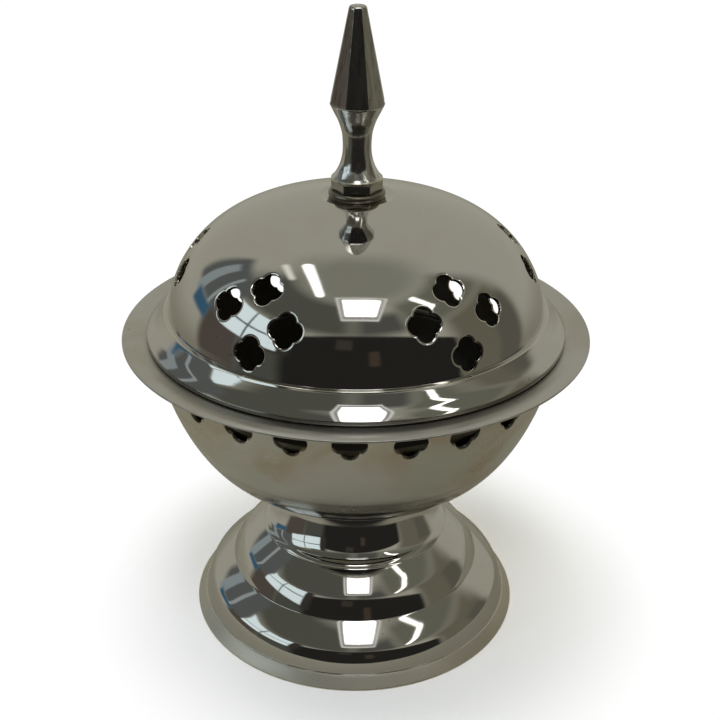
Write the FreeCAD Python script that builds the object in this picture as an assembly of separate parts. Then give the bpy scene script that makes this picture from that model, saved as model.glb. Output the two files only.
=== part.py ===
# Pierced pedestal incense burner: stepped foot, bowl with flat flange, lift-out
# charcoal pan and lift-off domed lid with a screwed-on faceted finial.
# Millimetres, +Z up. Origin: centre of the foot's bottom rim plane, on the axis
# of revolution. -Y is the side called the front.
import FreeCAD, Part
import math
import os

V = FreeCAD.Vector
os.makedirs("parts", exist_ok=True)

# ---------------------------------------------------------------- dimensions
# overall
FLANGE_R = 80.0          # outer radius of the bowl's flange
FLANGE_Z = 111.4         # seat of the flange, under the lid
FOOT_R = 60.0            # outer radius of the foot's bottom rim
TIP_Z = 219.4            # top of the finial

SHEET = 0.9              # spun sheet of bowl and lid
FOOT_SHEET = 1.0         # spun sheet of the foot
PAN_SHEET = 0.8          # spun sheet of the charcoal pan

# foot, bottom to top: flared rim, two convex steps, concave neck
RIM_Z = 4.4              # top of the flared rim band
RIM_R = 56.5             # radius at the top of the rim band
RIM_FACE_R = 57.8        # inner radius of the turned-in bottom edge
STEP2_R, STEP2_Z = 45.5, 18.7    # crease over the lower convex step
STEP1_R, STEP1_Z = 33.8, 32.5    # crease over the upper convex step
NECK_R, NECK_Z = 25.4, 50.6      # neck radius and height of the foot's top plate

# outline of the foot's bands, bottom to top: rolled over at the bottom, sloping to the crease
BAND2 = [(56.5, 4.4), (56.249, 5.349), (55.985, 6.294), (55.702, 7.233), (55.396, 8.165), (55.046, 9.103),
         (54.658, 10.003), (54.201, 10.87), (53.652, 11.681), (53.011, 12.42), (52.318, 13.111),
         (51.603, 13.779), (50.877, 14.435), (50.14, 15.078), (49.393, 15.71), (48.621, 16.342),
         (47.854, 16.95), (47.078, 17.545), (46.293, 18.128), (STEP2_R, STEP2_Z)]
BAND1 = [(STEP2_R, STEP2_Z), (45.113, 19.578), (44.696, 20.464), (44.263, 21.321), (43.808, 22.165),
         (43.316, 23.012), (42.806, 23.825), (42.266, 24.618), (41.679, 25.402), (41.044, 26.122),
         (40.36, 26.794), (39.659, 27.449), (38.937, 28.112), (38.224, 28.754), (37.506, 29.39),
         (36.767, 30.033), (36.037, 30.656), (35.302, 31.273), (34.546, 31.896), (STEP1_R, STEP1_Z)]
FLARE = [(33.0, 33.85), (32.04, 34.52), (31.19, 35.37), (30.42, 36.29), (29.74, 37.27), (29.12, 38.3),
         (28.55, 39.36), (28.04, 40.44), (27.59, 41.55), (27.19, 42.68), (26.84, 43.83), (26.56, 45.0),
         (26.2, 46.6), (25.8, 48.2), (NECK_R, 49.6)]


# bowl outside: r = BOWL_A * cos(t)^p, z = FLANGE_Z - BOWL_B * sin(t)^q
BOWL_A, BOWL_P = 70.127, 2.0 / 4.5135
BOWL_B, BOWL_Q = 56.824, 2.0 / 1.33755
BOWL_Z = FLANGE_Z - BOWL_B       # underside of the bowl on the axis

# turned collar clamped between foot and bowl
COLLAR_R = 22.6
COLLAR_H = BOWL_Z - NECK_Z

# lid dome outside: r = DOME_A * cos(t)^p, z = DOME_Z + DOME_B * sin(t)^q
DOME_A, DOME_P = 63.816, 2.0 / 3.1732
DOME_B, DOME_Q = 36.386, 2.0 / 1.6733
DOME_Z = 119.96                  # ledge where the dome meets the skirt
DOME_TOP = 158.1                 # small flat land under the finial's washer
CROWN_SLOPE, CROWN_POWER = 0.333, 0.7   # where the crown takes over from the shoulder, and how it eases
LEDGE_R = 65.56                  # outer radius of the ledge
SKIRT_R = 71.57                  # outer radius of the lid's bottom edge
LID_Z = 111.75                   # underside of the lid, just clear of the flange
RING_R = 68.2                    # outer radius of the locating ring
RING_T = 0.9
RING_LOW = 106.9                 # bottom of the locating ring, inside the bowl

# outline of the lid's skirt, top to bottom
SKIRT = [(65.56, 119.62), (65.934, 119.134), (66.312, 118.651), (66.692, 118.17), (67.076, 117.691),
         (67.463, 117.215), (67.853, 116.741), (68.255, 116.279), (68.676, 115.833), (69.115, 115.404),
         (69.571, 114.994), (70.028, 114.584), (70.477, 114.167), (70.918, 113.741), (71.36, 113.3)]

# four-lobed piercings
LOBE_R = 3.05                    # radius of each lobe
LOBE_D = 2.45                    # distance of each lobe from the hole's centre
# bowl row: (azimuth in degrees from -Y towards +X, height)
BOWL_HOLES = [(-48.0, 103.0), (-31.6, 102.9), (-16.5, 102.9), (-1.2, 103.3),
              (14.5, 102.5), (29.8, 101.9), (46.3, 102.3)]
BOWL_HOLES += [(46.3 + 16.18 * k, 102.5) for k in range(1, 6)]
BOWL_HOLES += [(143.4 + 15.53 * k, 102.0) for k in range(0, 6)]
BOWL_HOLES += [(221.05 + 15.16 * k, 102.5) for k in range(1, 6)]
# lid clusters, four holes in a diamond: (azimuth, height, turn in its own plane)
LID_HOLES = [
    (-31.3, 143.6, 0.0), (-43.2, 137.6, 0.0), (-20.8, 134.8, 0.0), (-30.8, 126.5, 0.0),
    (33.0, 143.5, 0.0), (21.0, 136.6, 0.0), (44.8, 136.2, 0.0), (33.0, 126.4, 0.0),
    (-92.0, 141.9, 0.0), (-80.4, 134.6, 0.0), (-103.8, 134.6, 0.0), (-92.0, 126.4, 0.0),
    (94.6, 143.5, 0.0), (82.3, 136.0, 0.0), (106.2, 136.0, 0.0), (94.3, 126.4, 0.0),
    (-150.2, 143.5, 0.0), (-138.3, 136.3, 0.0), (-162.1, 136.3, 0.0), (-150.2, 126.4, 0.0),
    (152.0, 143.5, 0.0), (140.1, 136.3, 0.0), (163.9, 136.3, 0.0), (152.0, 126.4, 0.0),
]

# finial: octagonal spire, turned waist, hexagonal collar nut, round washer
TIP_APOTHEM, GIRDLE_APOTHEM = 2.65, 8.6
GIRDLE_Z, GIRDLE_LOW = 189.6, 188.7
WAIST = [(188.3, 8.62), (185.4, 7.15), (183.4, 6.18), (181.5, 5.52), (179.5, 4.98),
         (177.5, 4.76), (175.5, 4.66), (173.5, 4.70), (171.5, 4.98), (169.5, 5.50),
         (167.5, 6.35), (165.5, 7.55)]
BASE_R, BASE_Z = 8.5, 163.9
HEX_AF, HEX_LOW = 14.8, 160.5    # across flats
WASHER_R = 9.4
STUD_R = 2.5                     # M5
STUD_TOP = 176.0
STUD_LOW = 146.5
LID_WASHER_R, LID_WASHER_T = 9.0, 1.2
LID_NUT_AF, LID_NUT_H = 8.0, 4.0

# pedestal bolt, M6, head inside the bowl and wing nut inside the foot
BOLT_R = 3.0
BOLT_HEAD_R, BOLT_HEAD_H = 6.0, 2.2
BOLT_LOW = 32.0
BOWL_WASHER_R, BOWL_WASHER_T = 9.0, 1.0
FOOT_WASHER_R, FOOT_WASHER_T = 12.0, 1.5

# charcoal pan
PAN_FLOOR_Z = 59.4               # underside of its flat floor
PAN_FLOOR_R = 39.6
PAN_CORNER = 3.0
PAN_RIM_R, PAN_RIM_Z = 57.5, 94.0
PAN_BEAD = 1.15                  # radius of the rolled rim


# ------------------------------------------------------------------- helpers
def line(a, b):
    return Part.LineSegment(V(a[0], 0, a[1]), V(b[0], 0, b[1])).toShape()


def curve(points):
    s = Part.BSplineCurve()
    s.interpolate([V(r, 0, z) for r, z in points])
    return s.toShape()


def arc(a, m, b):
    return Part.Arc(V(a[0], 0, a[1]), V(m[0], 0, m[1]), V(b[0], 0, b[1])).toShape()


def revolve(edges):
    wire = Part.Wire(Part.__sortEdges__(edges))
    return Part.Face(wire).revolve(V(0, 0, 0), V(0, 0, 1), 360)


def polygon_profile(points):
    pts = list(points) + [points[0]]
    return revolve([line(pts[i], pts[i + 1]) for i in range(len(pts) - 1)])


def cylinder(r, z0, z1):
    return Part.makeCylinder(r, z1 - z0, V(0, 0, z0))


def tube(r_out, r_in, z0, z1):
    return cylinder(r_out, z0, z1).cut(cylinder(r_in, z0 - 1, z1 + 1))


def prism(sides, apothem, z0, z1, turn=0.0):
    r = apothem / math.cos(math.pi / sides)
    pts = [V(r * math.cos(turn + math.pi * (2 * k + 1) / sides),
             r * math.sin(turn + math.pi * (2 * k + 1) / sides), z0) for k in range(sides)]
    face = Part.Face(Part.makePolygon(pts + [pts[0]]))
    return face.extrude(V(0, 0, z1 - z0))


def superellipse(a, p, z0, b, q, t0, t1, n):
    """Points of r = a cos(t)^p, z = z0 + b sin(t)^q, and the unit outward normal."""
    out = []
    for k in range(n):
        t = t0 + (t1 - t0) * k / (n - 1)
        c, s = math.cos(t), math.sin(t)
        r, z = a * c ** p, z0 + b * s ** q
        dr = -a * p * c ** (p - 1) * s
        dz = b * q * s ** (q - 1) * c
        nr, nz = (dz, -dr) if b > 0 else (-dz, dr)
        m = math.hypot(nr, nz)
        out.append((r, z, nr / m, nz / m))
    return out


def quatrefoil(radius, height, slope, azimuth, turn, depth):
    """Cutter with four lobes, driven square through the wall at that point."""
    a = math.radians(azimuth)
    er = V(math.sin(a), -math.cos(a), 0)
    ep = V(math.cos(a), math.sin(a), 0)
    up = (er * slope + V(0, 0, 1)).normalize()
    out = ep.cross(up).normalize()
    if out.dot(er) < 0:
        out = out * -1
    centre = er * radius + V(0, 0, height)
    w = math.radians(turn)
    ex = ep * math.cos(w) + up * math.sin(w)
    ey = up * math.cos(w) - ep * math.sin(w)
    notch = LOBE_D / math.sqrt(2) + math.sqrt(LOBE_R ** 2 - LOBE_D ** 2 / 2)
    base = centre - out * depth

    def at(x, y):
        return base + ex * x + ey * y

    edges = []
    for k in range(4):
        b = math.pi / 2 * k
        p0 = (notch * math.cos(b - math.pi / 4), notch * math.sin(b - math.pi / 4))
        p1 = (notch * math.cos(b + math.pi / 4), notch * math.sin(b + math.pi / 4))
        tip = ((LOBE_D + LOBE_R) * math.cos(b), (LOBE_D + LOBE_R) * math.sin(b))
        edges.append(Part.Arc(at(*p0), at(*tip), at(*p1)).toShape())
    face = Part.Face(Part.Wire(Part.__sortEdges__(edges)))
    return face.extrude(out * (2 * depth))


def inset(pts, t):
    """The same outline moved in by the sheet thickness, square to itself."""
    out = []
    for k in range(len(pts)):
        p, q = pts[max(k - 1, 0)], pts[min(k + 1, len(pts) - 1)]
        dr, dz = q[0] - p[0], q[1] - p[1]
        n = math.hypot(dr, dz)
        out.append((pts[k][0] - t * dz / n, pts[k][1] + t * dr / n))
    return out


def save(name, shape):
    if shape.ShapeType == "Compound" and len(shape.Solids) == 1:
        shape = shape.Solids[0]
    assert shape.isValid() and len(shape.Solids) >= 1, name
    shape.exportStep("parts/" + name + ".step")
    print("%-20s solids %d  volume %.1f mm3" % (name, len(shape.Solids), shape.Volume))
    return shape


# ---------------------------------------------------------------------- foot
def quarter(cr, cz, a, b, n=14):
    """Convex quarter from the vertical bottom (cr + a, cz) to the flat top (cr, cz + b)."""
    return [(cr + a * math.cos(math.pi / 2 * k / (n - 1)),
             cz + b * math.sin(math.pi / 2 * k / (n - 1))) for k in range(n)]


def hollow_quarter(cr, cz, a, b, n=14):
    """Concave quarter from the flat bottom (cr, cz - b) to the vertical top (cr - a, cz)."""
    return [(cr - a * math.sin(math.pi / 2 * k / (n - 1)),
             cz - b * math.cos(math.pi / 2 * k / (n - 1))) for k in range(n)]


def make_foot():
    t = FOOT_SHEET
    i2, i1, fl = inset(BAND2, t), inset(BAND1, t), inset(FLARE, t)
    bead = [(STEP1_R, STEP1_Z), (33.98, 32.85), (33.85, 33.3), FLARE[0]]
    edges = [
        line((RIM_FACE_R, 0), (FOOT_R - 0.4, 0)),
        line((FOOT_R - 0.4, 0), (FOOT_R, 0.4)),
        line((FOOT_R, 0.4), (RIM_R + 0.35, RIM_Z - 0.1)),
        line((RIM_R + 0.35, RIM_Z - 0.1), (RIM_R, RIM_Z)),
        curve(BAND2), curve(BAND1),
        line(bead[0], bead[1]), line(bead[1], bead[2]), line(bead[2], bead[3]),
        curve(FLARE),
        arc(FLARE[-1], (NECK_R - 0.3, NECK_Z - 0.3), (NECK_R - 1.0, NECK_Z)),
        line((NECK_R - 1.0, NECK_Z), (BOLT_R + 0.2, NECK_Z)),
        line((BOLT_R + 0.2, NECK_Z), (BOLT_R + 0.2, NECK_Z - t)),
        line((BOLT_R + 0.2, NECK_Z - t), (fl[-1][0], NECK_Z - t)),
        line((fl[-1][0], NECK_Z - t), fl[-1]) if abs(NECK_Z - t - fl[-1][1]) > 1e-6 else None,
        curve(fl[::-1]),
        line(fl[0], i1[-1]),
        curve(i1[::-1]),
        line(i1[0], i2[-1]),
        curve(i2[::-1]),
        line(i2[0], (RIM_FACE_R - 1.6, 1.0)),
        line((RIM_FACE_R - 1.6, 1.0), (RIM_FACE_R, 1.0)),
        line((RIM_FACE_R, 1.0), (RIM_FACE_R, 0)),
    ]
    return revolve([e for e in edges if e is not None])


foot = save("foot", make_foot())

# --------------------------------------------- collar between foot and bowl
c0, c1 = NECK_Z, NECK_Z + COLLAR_H
collar = revolve([
    line((BOLT_R + 0.2, c0), (COLLAR_R - 1.4, c0)),
    arc((COLLAR_R - 1.4, c0), (COLLAR_R, (c0 + c1) / 2), (COLLAR_R - 1.4, c1)),
    line((COLLAR_R - 1.4, c1), (BOLT_R + 0.2, c1)),
    line((BOLT_R + 0.2, c1), (BOLT_R + 0.2, c0)),
])
save("neck_collar", collar)


# ---------------------------------------------------------------------- bowl
def make_bowl():
    s = superellipse(BOWL_A, BOWL_P, FLANGE_Z, -BOWL_B, BOWL_Q, 0.16, math.pi / 2 - 0.035, 40)
    outer = [(r, z) for r, z, _, _ in s]
    inner = [(r - SHEET * nr, z - SHEET * nz) for r, z, nr, nz in s]
    flat_o = outer[-1]
    zi = BOWL_Z + SHEET
    top = FLANGE_Z
    under = FLANGE_Z - 1.0
    edges = [
        # outside: axis hole, flat middle, belly, up to the flange's underside
        line((BOLT_R + 0.2, BOWL_Z), (flat_o[0] - 4.0, BOWL_Z)),
        curve([(flat_o[0] - 4.0, BOWL_Z), (flat_o[0] - 2.0, BOWL_Z + 0.25 * (flat_o[1] - BOWL_Z)), flat_o]),
        curve(outer),
        line(outer[0], (70.9, under)),
        # flange, dished up a little towards its soft edge
        line((70.9, under), (72.3, under + 0.1)),
        curve([(72.3, under + 0.1), (74.3, under + 0.22), (76.3, under + 0.5), (78.3, under + 0.78), (79.2, under + 0.9)]),
        arc((79.2, under + 0.9), (FLANGE_R, under + 1.3), (79.1, top + 0.7)),
        curve([(79.1, top + 0.7), (78.3, top + 0.65), (76.3, top + 0.38), (74.3, top + 0.12), (72.3, top)]),
        line((72.3, top), (69.6, top)),
        line((69.6, top), inner[0]),
        curve(inner),
        curve([inner[-1], (inner[-1][0] - 2.0, zi + 0.25 * (inner[-1][1] - zi)), (inner[-1][0] - 4.0, zi)]),
        line((inner[-1][0] - 4.0, zi), (BOLT_R + 0.2, zi)),
        line((BOLT_R + 0.2, zi), (BOLT_R + 0.2, BOWL_Z)),
    ]
    body = revolve(edges)
    cutters = []
    for az, z in BOWL_HOLES:
        sn = ((FLANGE_Z - z) / BOWL_B) ** (1 / BOWL_Q)
        t = math.asin(sn)
        r = BOWL_A * math.cos(t) ** BOWL_P
        slope = (-BOWL_A * BOWL_P * math.cos(t) ** (BOWL_P - 1) * math.sin(t)) / (
            -BOWL_B * BOWL_Q * math.sin(t) ** (BOWL_Q - 1) * math.cos(t))
        cutters.append(quatrefoil(r, z, slope, az, 0.0, 5.0))
    return body.cut(Part.makeCompound(cutters))


bowl = save("bowl", make_bowl())


# ---------------------------------------------------------------- lid dome
def crown(s):
    """Replaces the top of the outline by a rounder crown that starts at the same slope and ends at the washer's land."""
    keep = [q for q in s if q[2] / q[3] > CROWN_SLOPE]
    r0, z0, nr, nz = keep[-1]
    k0, m = nr / nz, CROWN_POWER + 1
    for i in range(1, 13):
        r = r0 + (12.4 - r0) * i / 12
        k = k0 * (r / r0) ** CROWN_POWER
        n = math.hypot(k, 1)
        keep.append((r, z0 + k0 * r0 / m * (1 - (r / r0) ** m), k / n, 1 / n))
    return keep


def make_lid():
    s = crown(superellipse(DOME_A, DOME_P, DOME_Z, DOME_B, DOME_Q, 0.10, math.pi / 2 - 0.08, 36))
    outer = [(r, z) for r, z, _, _ in s]
    inner = [(r - SHEET * nr, z - SHEET * nz) for r, z, nr, nz in s]
    top_o, top_i = DOME_TOP, DOME_TOP - SHEET
    skirt_in = inset(SKIRT[::-1], SHEET)[::-1][:-1]
    skirt_in[0] = (LEDGE_R - 0.81, DOME_Z - SHEET)
    hole = STUD_R + 0.2
    edges = [
        line((hole, top_o), (outer[-1][0] - 3.0, top_o)),
        curve([(outer[-1][0] - 3.0, top_o), (outer[-1][0] - 1.5, top_o + 0.3 * (outer[-1][1] - top_o)), outer[-1]]),
        curve(outer[::-1]),
        line(outer[0], (DOME_A + 0.15, DOME_Z + 0.02)),
        line((DOME_A + 0.15, DOME_Z + 0.02), (LEDGE_R - 0.35, DOME_Z)),
        line((LEDGE_R - 0.35, DOME_Z), SKIRT[0]),
        curve(SKIRT),
        arc(SKIRT[-1], (SKIRT_R - 0.05, 113.02), (SKIRT_R, 112.75)),
        line((SKIRT_R, 112.75), (SKIRT_R, LID_Z + 0.25)),
        line((SKIRT_R, LID_Z + 0.25), (SKIRT_R - 0.25, LID_Z)),
        line((SKIRT_R - 0.25, LID_Z), (RING_R, LID_Z)),
        line((RING_R, LID_Z), (RING_R, 112.9)),
        line((RING_R, 112.9), skirt_in[-1]),
        curve(skirt_in),
        line(skirt_in[0], (inner[0][0], DOME_Z - SHEET)),
        line((inner[0][0], DOME_Z - SHEET), inner[0]),
        curve(inner),
        curve([inner[-1], (inner[-1][0] - 1.5, top_i + 0.3 * (inner[-1][1] - top_i)), (inner[-1][0] - 3.0, top_i)]),
        line((inner[-1][0] - 3.0, top_i), (hole, top_i)),
        line((hole, top_i), (hole, top_o)),
    ]
    body = revolve(edges)
    cutters = []
    for az, z, turn in LID_HOLES:
        sn = ((z - DOME_Z) / DOME_B) ** (1 / DOME_Q)
        t = math.asin(sn)
        r = DOME_A * math.cos(t) ** DOME_P
        slope = (-DOME_A * DOME_P * math.cos(t) ** (DOME_P - 1) * math.sin(t)) / (
            DOME_B * DOME_Q * math.sin(t) ** (DOME_Q - 1) * math.cos(t))
        cutters.append(quatrefoil(r, z, slope, az, turn, 6.0))
    return body.cut(Part.makeCompound(cutters))


lid = save("lid_dome", make_lid())

# ring soldered inside the skirt: drops into the bowl's mouth and keeps the lid centred
ring = polygon_profile([
    (RING_R, RING_LOW + 0.5), (RING_R, 113.0), (RING_R - RING_T, 113.0),
    (RING_R - RING_T, RING_LOW), (RING_R - 0.4, RING_LOW)])
ring = ring.cut(lid)
save("locating_ring", ring)

# -------------------------------------------------------------------- finial
oct_low = prism(8, GIRDLE_APOTHEM, GIRDLE_LOW, GIRDLE_Z, turn=0.0)


def octagon(apothem, z):
    r = apothem / math.cos(math.pi / 8)
    pts = [V(r * math.cos(math.pi * (2 * k + 1) / 8), r * math.sin(math.pi * (2 * k + 1) / 8), z)
           for k in range(8)]
    return Part.makePolygon(pts + [pts[0]])


spire = Part.makeLoft([octagon(GIRDLE_APOTHEM, GIRDLE_Z), octagon(TIP_APOTHEM, TIP_Z)], True, True)
spire = spire.common(revolve([
    line((0, GIRDLE_Z - 1), (12, GIRDLE_Z - 1)),
    line((12, GIRDLE_Z - 1), (12, TIP_Z - 8)),
    line((12, TIP_Z - 8), (3.1, TIP_Z - 1.2)),
    arc((3.1, TIP_Z - 1.2), (2.72, TIP_Z - 0.34), (1.9, TIP_Z)),
    line((1.9, TIP_Z), (0, TIP_Z)),
    line((0, TIP_Z), (0, GIRDLE_Z - 1)),
]))
waist_pts = [(r, z) for z, r in WAIST]
turned = revolve([
    line((0, BASE_Z), (BASE_R - 0.3, BASE_Z)),
    line((BASE_R - 0.3, BASE_Z), (BASE_R, BASE_Z + 0.3)),
    line((BASE_R, BASE_Z + 0.3), (BASE_R, BASE_Z + 0.7)),
    line((BASE_R, BASE_Z + 0.7), waist_pts[-1]),
    curve(waist_pts[::-1]),
    line(waist_pts[0], (8.8, GIRDLE_LOW + 0.1)),
    line((8.8, GIRDLE_LOW + 0.1), (0, GIRDLE_LOW + 0.1)),
    line((0, GIRDLE_LOW + 0.1), (0, BASE_Z)),
])
cone_trim = revolve([   # chamfers the octagon's lower corners into the round taper
    line((0, GIRDLE_LOW - 0.5), (8.4, GIRDLE_LOW - 0.5)),
    line((8.4, GIRDLE_LOW - 0.5), (9.4, GIRDLE_Z)),
    line((9.4, GIRDLE_Z), (0, GIRDLE_Z)),
    line((0, GIRDLE_Z), (0, GIRDLE_LOW - 0.5)),
])
finial = spire.fuse(oct_low.common(cone_trim)).fuse(turned).removeSplitter()
finial = finial.cut(cylinder(STUD_R + 0.02, BASE_Z - 1, STUD_TOP + 0.5))
save("finial_spire", finial)

hexnut = prism(6, HEX_AF / 2, HEX_LOW, BASE_Z, turn=math.pi / 6)
hex_trim = revolve([
    line((0, HEX_LOW), (8.0, HEX_LOW)), line((8.0, HEX_LOW), (8.6, HEX_LOW + 0.5)),
    line((8.6, HEX_LOW + 0.5), (8.6, BASE_Z - 0.5)), line((8.6, BASE_Z - 0.5), (8.0, BASE_Z)),
    line((8.0, BASE_Z), (0, BASE_Z)), line((0, BASE_Z), (0, HEX_LOW))])
hexnut = hexnut.common(hex_trim).cut(cylinder(STUD_R + 0.02, HEX_LOW - 1, BASE_Z + 1))
save("finial_hex_collar", hexnut)

washer = revolve([
    line((STUD_R + 0.1, DOME_TOP), (WASHER_R - 0.5, DOME_TOP)),
    arc((WASHER_R - 0.5, DOME_TOP), (WASHER_R, (DOME_TOP + HEX_LOW) / 2), (WASHER_R - 0.7, HEX_LOW)),
    line((WASHER_R - 0.7, HEX_LOW), (STUD_R + 0.1, HEX_LOW)),
    line((STUD_R + 0.1, HEX_LOW), (STUD_R + 0.1, DOME_TOP))])
save("finial_washer", washer)

stud = polygon_profile([(0, STUD_LOW), (STUD_R - 0.5, STUD_LOW), (STUD_R, STUD_LOW + 0.5),
                        (STUD_R, STUD_TOP - 0.5), (STUD_R - 0.5, STUD_TOP), (0, STUD_TOP)])
save("finial_stud", stud)

under_lid = DOME_TOP - SHEET
save("lid_washer", tube(LID_WASHER_R, STUD_R + 0.1, under_lid - LID_WASHER_T, under_lid))
nut_top = under_lid - LID_WASHER_T
save("lid_nut", prism(6, LID_NUT_AF / 2, nut_top - LID_NUT_H, nut_top)
     .cut(cylinder(STUD_R + 0.02, nut_top - LID_NUT_H - 1, nut_top + 1)))

# ------------------------------------------------------------- pedestal bolt
wz = BOWL_Z + SHEET
save("bowl_washer", tube(BOWL_WASHER_R, BOLT_R + 0.1, wz, wz + BOWL_WASHER_T))
hz = wz + BOWL_WASHER_T
bolt = revolve([
    line((0, BOLT_LOW), (BOLT_R - 0.6, BOLT_LOW)),
    line((BOLT_R - 0.6, BOLT_LOW), (BOLT_R, BOLT_LOW + 0.6)),
    line((BOLT_R, BOLT_LOW + 0.6), (BOLT_R, hz)),
    line((BOLT_R, hz), (BOLT_HEAD_R, hz)),
    line((BOLT_HEAD_R, hz), (BOLT_HEAD_R, hz + 0.8)),
    arc((BOLT_HEAD_R, hz + 0.8), (BOLT_HEAD_R * 0.72, hz + 1.75), (0, hz + BOLT_HEAD_H)),
    line((0, hz + BOLT_HEAD_H), (0, BOLT_LOW)),
])
slot = Part.makeBox(14, 1.4, 2, V(-7, -0.7, hz + 1.1))
save("pedestal_bolt", bolt.cut(slot))

fz = NECK_Z - FOOT_SHEET
save("foot_washer", tube(FOOT_WASHER_R, BOLT_R + 0.1, fz - FOOT_WASHER_T, fz))

# wing nut: tapered hub with two upright ears, screwed up under the washer
nz = fz - FOOT_WASHER_T
hub = revolve([line((BOLT_R + 0.02, nz), (6.5, nz)), line((6.5, nz), (5.0, nz - 7.0)),
               line((5.0, nz - 7.0), (BOLT_R + 0.02, nz - 7.0)), line((BOLT_R + 0.02, nz - 7.0), (BOLT_R + 0.02, nz))])


def ear(side):
    pts = [(4.6, -1.0), (9.0, -3.6), (13.2, -9.5), (12.6, -12.0), (9.6, -12.2), (4.4, -6.6)]
    vs = [V(side * x, -1.1, nz + z) for x, z in pts]
    face = Part.Face(Part.makePolygon(vs + [vs[0]]))
    return face.extrude(V(0, 2.2, 0))


wing = hub.fuse(ear(1)).fuse(ear(-1)).cut(cylinder(BOLT_R + 0.02, nz - 20, nz + 1)).removeSplitter()
save("foot_wing_nut", wing)

# -------------------------------------------------------------- charcoal pan
PC_Z = PAN_FLOOR_Z + PAN_CORNER
wall_top = (PAN_RIM_R - PAN_BEAD - 0.35, PAN_RIM_Z - PAN_BEAD)
k45 = math.sqrt(0.5)
bead_c = (PAN_RIM_R - PAN_BEAD, PAN_RIM_Z - PAN_BEAD)


def pan_wall(off):
    """Wall from the floor's corner to the rim, bulging a little outward."""
    x0, z0 = PAN_FLOOR_R + PAN_CORNER - off, PC_Z
    x1, z1 = bead_c[0] - off, bead_c[1]
    out = []
    for k in range(9):
        u = k / 8.0
        out.append((x0 + (x1 - x0) * u + 1.9 * math.sin(math.pi * u * 0.98), z0 + (z1 - z0) * u))
    return out


wo, wi = pan_wall(0.0), pan_wall(PAN_SHEET)
pan = revolve([
    line((0, PAN_FLOOR_Z), (PAN_FLOOR_R, PAN_FLOOR_Z)),
    arc((PAN_FLOOR_R, PAN_FLOOR_Z),
        (PAN_FLOOR_R + PAN_CORNER * k45, PC_Z - PAN_CORNER * k45), wo[0]),
    curve(wo),
    line(wo[-1], wi[-1]),
    curve(wi[::-1]),
    arc(wi[0], (PAN_FLOOR_R + (PAN_CORNER - PAN_SHEET) * k45, PC_Z - (PAN_CORNER - PAN_SHEET) * k45),
        (PAN_FLOOR_R, PAN_FLOOR_Z + PAN_SHEET)),
    line((PAN_FLOOR_R, PAN_FLOOR_Z + PAN_SHEET), (0, PAN_FLOOR_Z + PAN_SHEET)),
    line((0, PAN_FLOOR_Z + PAN_SHEET), (0, PAN_FLOOR_Z)),
])
bead = Part.makeTorus(bead_c[0], PAN_BEAD, V(0, 0, bead_c[1]))
pan = pan.fuse(bead).removeSplitter()
save("charcoal_pan", pan)
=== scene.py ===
import math

import bpy
import numpy as np
from mathutils import Matrix, Vector
from mathutils.geometry import delaunay_2d_cdt


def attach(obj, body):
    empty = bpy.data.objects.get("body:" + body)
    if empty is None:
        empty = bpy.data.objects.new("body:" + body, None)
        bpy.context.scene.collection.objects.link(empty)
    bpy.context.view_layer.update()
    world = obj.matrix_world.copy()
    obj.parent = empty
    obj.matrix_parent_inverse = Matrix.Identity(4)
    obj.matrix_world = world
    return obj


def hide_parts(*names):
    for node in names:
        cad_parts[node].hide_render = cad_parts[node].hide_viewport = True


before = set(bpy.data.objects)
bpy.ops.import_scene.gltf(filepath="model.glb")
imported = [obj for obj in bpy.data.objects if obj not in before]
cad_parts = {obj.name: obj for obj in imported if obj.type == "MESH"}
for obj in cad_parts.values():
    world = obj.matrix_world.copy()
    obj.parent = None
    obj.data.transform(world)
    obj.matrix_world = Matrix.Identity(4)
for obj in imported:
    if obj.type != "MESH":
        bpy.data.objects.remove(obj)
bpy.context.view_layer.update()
scene = bpy.context.scene
scene.view_settings.view_transform = "Standard"
MM = 0.001
rad = math.radians

# ------------------------------------------------------------------ dimensions (mm)
FLANGE_R, FLANGE_Z = 79.97, 111.4
FOOT_R = 60.0
SHEET, FOOT_SHEET, PAN_SHEET = 0.9, 1.0, 0.8
BOWL_A, BOWL_P, BOWL_B, BOWL_Q = 70.127, 2.0 / 4.5135, 56.824, 2.0 / 1.33755
BOWL_Z = FLANGE_Z - BOWL_B
DOME_A, DOME_P, DOME_B, DOME_Q = 63.816, 2.0 / 3.1732, 36.386, 2.0 / 1.6733
DOME_Z = 119.96
DOME_TOP = 158.1
LEDGE_R, SKIRT_R, LID_Z, RING_R = 65.56, 71.57, 111.75, 68.2
BOLT_R, STUD_R = 3.0, 2.5
LOBE_R, LOBE_D = 3.05, 2.45

BOWL_HOLES = [(-48.0, 103.0), (-31.6, 102.9), (-16.5, 102.9), (-1.2, 103.3),
              (14.5, 102.5), (29.8, 101.9), (46.3, 102.3)]
BOWL_HOLES += [(46.3 + 16.18 * k, 102.5) for k in range(1, 6)]
BOWL_HOLES += [(143.4 + 15.53 * k, 102.0) for k in range(0, 6)]
BOWL_HOLES += [(221.05 + 15.16 * k, 102.5) for k in range(1, 6)]
LID_HOLES = [
    (-31.3, 143.6), (-43.2, 137.6), (-20.8, 134.8), (-30.8, 126.5),
    (33.0, 143.5), (21.0, 136.6), (44.8, 136.2), (33.0, 126.4),
    (-92.0, 141.9), (-80.4, 134.6), (-103.8, 134.6), (-92.0, 126.4),
    (94.6, 143.5), (82.3, 136.0), (106.2, 136.0), (94.3, 126.4),
    (-150.2, 143.5), (-138.3, 136.3), (-162.1, 136.3), (-150.2, 126.4),
    (152.0, 143.5), (140.1, 136.3), (163.9, 136.3), (152.0, 126.4),
]


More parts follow.
